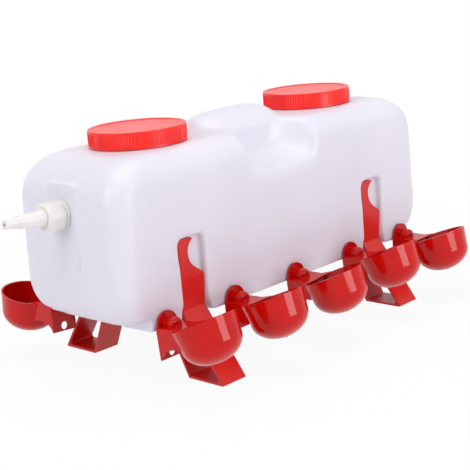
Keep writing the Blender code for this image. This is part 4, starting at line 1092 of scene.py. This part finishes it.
def build_leg_moulding():
    """Strap with a hook, saddle under the tank's chamfer and hollow foot; +Y away from the tank."""
    slope = CHAMFER_HEIGHT / (HALF_WIDTH - FLOOR_WIDTH / 2)
    inner_face = STRAP_FACE - LEG_PLATE
    low_face = STRAP_FACE - STRAP_LEAN
    saddle_y = FLOOR_WIDTH / 2 + 1.5 * MM

    def saddle(y):
        """Height of the tank's chamfer above the foot."""
        return TANK_BOTTOM - FIT + slope * (y - FLOOR_WIDTH / 2)

    outline = [(inner_face, STRAP_TOP, 0.0), (inner_face, STRAP_BEND, STRAP_BEND_RADIUS),
               (low_face - LEG_PLATE, saddle(low_face - LEG_PLATE), 1.2 * MM),
               (saddle_y, saddle(saddle_y), 1.5 * MM), (FOOT_INNER, 0, FOOT_FILLET),
               (FOOT_OUTER, 0, FOOT_FILLET), (low_face, STRAP_FOOT, 3 * MM),
               (STRAP_FACE, STRAP_BEND, STRAP_BEND_RADIUS), (STRAP_FACE, STRAP_TOP, 0.0)]
    half = LEG_WIDTH / 2
    leg = add_object("leg_moulding", extrude(rounded(outline, 6), -half, half, along_x))
    lean = (FOOT_OUTER - low_face) / STRAP_FOOT
    apex_y = (low_face + lean * STRAP_FOOT - lean * saddle(0)) / (1 + lean * slope)
    foot = [(saddle_y, saddle(saddle_y), TUBE_FILLET / 2), (FOOT_INNER, 0, TUBE_FILLET / 2),
            (FOOT_OUTER, 0, TUBE_FILLET), (apex_y, saddle(apex_y), TUBE_FILLET)]
    hollow = rounded(inset(foot, LEG_PLATE), 6)
    cut(leg, extrude(hollow, -half - PAST, half + PAST, along_x))
    hook = Vector((-half + HOOK_RADIUS + HOOK_FINGER, HOOK_HEIGHT))
    upper = (hook.x - HOOK_RADIUS + HOOK_UPPER_RADIUS, hook.y)
    bite = arc(upper, HOOK_UPPER_RADIUS, 116, 176, 14) + arc(hook, HOOK_RADIUS, 180, 270 - SHOULDER_SLOPE, 16)
    last = Vector(bite[-1])
    heading = Vector((cosine(-SHOULDER_SLOPE), sine(-SHOULDER_SLOPE)))
    shoulder = last + heading * ((half - last.x) / heading.x)
    below = shoulder.y - 3 * SHOULDER_FILLET
    corners = [(last.x, last.y, 0), (shoulder.x, shoulder.y, SHOULDER_FILLET), (half, below, 0),
               (half + PAST, below, 0), (half + PAST, STRAP_TOP + PAST, 0)]
    inward = (Vector(bite[1]) - Vector(bite[0])).normalized()
    tip = Vector((bite[0][0], STRAP_TOP))
    edge = rounded([(tip.x - 2 * HOOK_TIP, STRAP_TOP + PAST, 0), (tip.x - 2 * HOOK_TIP, STRAP_TOP, 0),
                    (tip.x, STRAP_TOP, HOOK_TIP),
                    (tip.x + inward.x * 2 * HOOK_TIP, STRAP_TOP + inward.y * 2 * HOOK_TIP, 0)], 8)
    turned_in = [point for point in bite if point[1] < edge[-1][1] - 0.3 * MM]
    opening = [(-x, z) for x, z in edge + turned_in + rounded(corners, 8)[1:]]
    cut(leg, extrude(opening, HALF_WIDTH - 3 * LEG_PLATE - STRAP_INSET, HALF_WIDTH + PAST, along_y))
    return soften(leg, LEG_SOFTNESS, 3)


def build_legs(material):
    """Four clip-on legs, all of one moulding."""
    leg = build_leg_moulding()
    leg.name = "clip_leg_near_left"
    for row, side in (("near", -1), ("far", 1)):
        for end, centre in (("left", -LEG_SPACING / 2), ("right", LEG_SPACING / 2)):
            name = f"{row}_{end}"
            place = at(centre, 0, 0) @ turned(180 if side < 0 else 0, "Z")
            if name == "near_left":
                leg.matrix_world = place
                show(leg, material, "drinker", "red_leg_polypropylene", "leg_near_left")
            else:
                twin(leg, f"clip_leg_{name}", place, "drinker", "red_leg_polypropylene", f"leg_{name}")


# The water inlet


def hexagon(width):
    """Outline of a nut, as it was tightened: one flat on top and one below."""
    radius = width / math.sqrt(3)
    return [(radius * cosine(a), radius * sine(a)) for a in range(30, 390, 60)]


def lock_ring_profile(shank, end):
    """Outline of the lock ring: a disc by the tank and a smaller one in front, with a groove between."""
    edge = LOCK_RING_DIAMETER / 2
    half = end / 2
    profile = [(shank + FIT, end)] + arc((edge - 2.1 * MM, end - 0.6 * MM), 0.6 * MM, 90, 0, 4)
    profile += arc((edge - 1.1 * MM, half + 0.1 * MM), 0.4 * MM, 180, 270, 2)
    profile += arc((edge - 0.7 * MM, half - 0.8 * MM), 0.7 * MM, 90, 0, 4)
    return profile + [(edge, FIT + 0.3 * MM), (edge - 0.3 * MM, FIT), (shank + FIT, FIT)]


def build_nut(shank, start, end):
    """Hexagonal union nut with a conical front, bored for the shank and the nozzle."""
    nut = add_object("inlet_nut", extrude(hexagon(INLET_NUT_WIDTH), start, end, along_z))
    soften(nut, INLET_NUT_SOFTNESS, 3)
    corner = INLET_NUT_WIDTH / math.sqrt(3)
    soft = 1.9 * MM
    cone = 3.4 * MM                 # width of the nut's conical front
    barrel = [(0, end), (corner - cone, end), (corner - FIT, end - 0.9 * cone),
              (corner - FIT, start + soft), (corner - soft, start), (0, start)]
    combine(nut, revolve(barrel, 96, 0.5), "INTERSECT")
    mouth = NOZZLE_BASE / 2 + 2 * FIT
    lip = end - INLET_NUT_LIP
    cut(nut, revolve([(0, end + PAST), (mouth, end + PAST), (mouth, lip), (shank + FIT, lip),
                      (shank + FIT, start - PAST), (0, start - PAST)], 64))
    return soften(nut, INLET_BORE_SOFTNESS)


def nozzle_profile(collar, neck, end):
    """Outline of the nozzle: collar in the nut, bead in the nut's front, taper, barb and bored tip."""
    bore = WATERWAY / 2
    jet = 1.5 * MM                  # the bore narrows in the tip
    tip = end + NOZZLE_LENGTH
    cone = end + MM
    base = NOZZLE_BASE / 2
    point = NOZZLE_TIP / 2
    barb = tip - 14.5 * MM
    swell = point + 1.3 * MM
    bead = base + 1.1 * MM          # covers the gap round the nozzle in the nut's front
    profile = [(bore, tip - 9 * MM), (jet, tip - 6 * MM), (jet, tip - 0.4 * MM), (jet + 0.4 * MM, tip)]
    profile += arc((point - 0.7 * MM, tip - 0.7 * MM), 0.7 * MM, 90, 0, 4)
    profile += [(point, tip - 2.2 * MM), (point - 0.25 * MM, tip - 2.8 * MM),
                (swell - 0.8 * MM, barb + 0.5 * MM)]
    profile += arc((swell - 0.6 * MM, barb - 0.6 * MM), 0.6 * MM, 90, 10, 3)
    return profile + [
        (base - 0.2 * MM, cone + 0.8 * MM), (bead - 0.3 * MM, cone + 0.5 * MM), (bead, cone),
        (bead, end + FIT), (base, end + FIT), (base, neck), (COLLAR_DIAMETER / 2, neck),
        (COLLAR_DIAMETER / 2, collar), (bore, collar)]


def build_inlet(material):
    """Lock ring, union nut and hose nozzle on the inlet's axis, outside the tank."""
    shank = SHANK_DIAMETER / 2
    ring_end = FIT + LOCK_RING_THICKNESS
    start = ring_end + FIT
    end = start + INLET_NUT_LENGTH
    collar = start + INLET_THREAD_LENGTH + FIT + HOSE_WASHER_THICKNESS + FIT
    neck = end - INLET_NUT_LIP - FIT
    flange = add_object("inlet_flange", revolve(lock_ring_profile(shank, ring_end), 72))
    nut = build_nut(shank, start, end)
    nozzle = add_object("hose_nozzle", revolve(nozzle_profile(collar, neck, end), 72))
    for piece, body, node in ((flange, "drinker", "inlet_lock_ring"), (nut, "union_nut", "inlet_union_nut"),
                              (nozzle, "nozzle", "inlet_nozzle")):
        piece.matrix_world = at(0, 0, 0) @ inlet_frame()
        show(piece, material, body, "white_inlet_nylon", node)


def finish_hidden_nodes(plastics):
    """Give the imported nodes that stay, inside the tank and under the lids, their own finishes."""
    finishes = {"rubber": ("lid_seal", "cup_gasket", "hose_washer", "valve_gasket", "valve_seal"),
                "nut": ("cup_nut",), "valve": ("float_valve_body", "valve_plunger", "float_arm"),
                "float": ("float_bell",), "steel": ("arm_pin",)}
    for name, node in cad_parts.items():
        for finish, starts in finishes.items():
            if name.startswith(starts):
                for slot in node.material_slots:
                    slot.material = plastics[finish]


# The studio


def white_share(tree):
    """1 for rays from the camera, a gloss or a glass, which see the white background; 0 for light."""
    path = add_node(tree, "ShaderNodeLightPath")
    share = path.outputs["Is Camera Ray"]
    for kind in ("Is Glossy Ray", "Is Transmission Ray"):
        higher = add_node(tree, "ShaderNodeMath", {0: share, 1: path.outputs[kind]}, operation="MAXIMUM")
        share = higher.outputs[0]
    return share


def build_floor():
    """Pale paper sweep: white to the eye, with the drinker's soft shadow left near its feet."""
    bm = bmesh.new()
    bmesh.ops.create_grid(bm, x_segments=12, y_segments=12, size=6.0)
    floor = add_object("studio_floor", moved(bm, Matrix.Translation((0, 0, -0.2 * MM))))
    material = bpy.data.materials.new("white_sweep_paper")
    tree = empty_tree(material)
    paper = add_node(tree, "ShaderNodeBsdfDiffuse", {"Color": linear("#F6F6F8")})
    glow = add_node(tree, "ShaderNodeEmission", {"Color": (1.0, 1.0, 1.0, 1.0), "Strength": 1.0})
    point = add_node(tree, "ShaderNodeTexCoord").outputs["Object"]
    away = add_node(tree, "ShaderNodeVectorMath", {0: point}, operation="LENGTH").outputs["Value"]
    far = add_node(tree, "ShaderNodeMapRange", {
        "Value": away, "From Min": 0.3, "From Max": 0.8, "To Min": 0.92, "To Max": 1.0},
        interpolation_type="SMOOTHSTEP").outputs["Result"]
    share = add_node(tree, "ShaderNodeMath", {0: white_share(tree), 1: far}, operation="MULTIPLY")
    mixed = add_node(tree, "ShaderNodeMixShader",
                     {0: share.outputs[0], 1: paper.outputs[0], 2: glow.outputs[0]})
    add_node(tree, "ShaderNodeOutputMaterial", {"Surface": mixed.outputs[0]})
    floor.data.materials.append(material)


def build_world():
    """White surround: strength 1 where the camera, a gloss or a glass sees it, a plain fill for the rest."""
    world = bpy.data.worlds.new("studio")
    bpy.context.scene.world = world
    tree = empty_tree(world)
    fill = add_node(tree, "ShaderNodeBackground", {"Color": linear("#F6F5FA"), "Strength": FILL_LIGHT})
    white = add_node(tree, "ShaderNodeBackground", {"Color": (1.0, 1.0, 1.0, 1.0), "Strength": 1.0})
    mixed = add_node(tree, "ShaderNodeMixShader",
                     {0: white_share(tree), 1: fill.outputs[0], 2: white.outputs[0]})
    add_node(tree, "ShaderNodeOutputWorld", {"Surface": mixed.outputs[0]})


def add_softbox(name, place, target, width, height, watts):
    """Rectangular soft box that faces a target; its long side stands upright."""
    lamp = bpy.data.lights.new(name, "AREA")
    lamp.shape = "RECTANGLE"
    lamp.size = width
    lamp.size_y = height
    lamp.energy = watts
    piece = new_object(name, lamp)
    piece.location = place
    piece.rotation_euler = (Vector(target) - Vector(place)).to_track_quat("-Z", "Y").to_euler()


def light_the_studio():
    """Soft boxes in front, overhead and behind the inlet's end."""
    for box in SOFTBOXES:
        add_softbox(*box)


def place_camera():
    """The photograph's view: from the front left, 13 degrees down."""
    lens = bpy.data.cameras.new("view")
    lens.lens = CAMERA_LENS
    lens.sensor_width = 36.0
    lens.clip_start = 0.05
    lens.clip_end = 30.0
    camera = new_object("view", lens)
    ahead = Vector(CAMERA_AHEAD).normalized()
    right = ahead.cross(Vector(CAMERA_UP)).normalized()
    up = right.cross(ahead)
    turn = Matrix((right, up, -ahead)).transposed().to_4x4()
    camera.matrix_world = Matrix.Translation(TANK_MIDDLE + Vector(CAMERA_PLACE) * MM) @ turn
    bpy.context.scene.camera = camera


place_camera()
build_world()
build_floor()
light_the_studio()
bpy.context.scene.view_settings.view_transform = "Standard"

tank_plastic = blow_moulded_polyethylene()
build_tank(tank_plastic)
build_neck_threads(tank_plastic)
build_lids(injection_moulded_lid_polypropylene())
build_cups(gloss_moulded_cup_polypropylene())
build_legs(satin_moulded_leg_polypropylene())
build_inlet(moulded_inlet_nylon())
finish_hidden_nodes({"rubber": pressed_rubber(), "nut": moulded_nut_polypropylene(),
                     "valve": moulded_valve_acetal(), "float": moulded_float_polypropylene(),
                     "steel": drawn_stainless()})
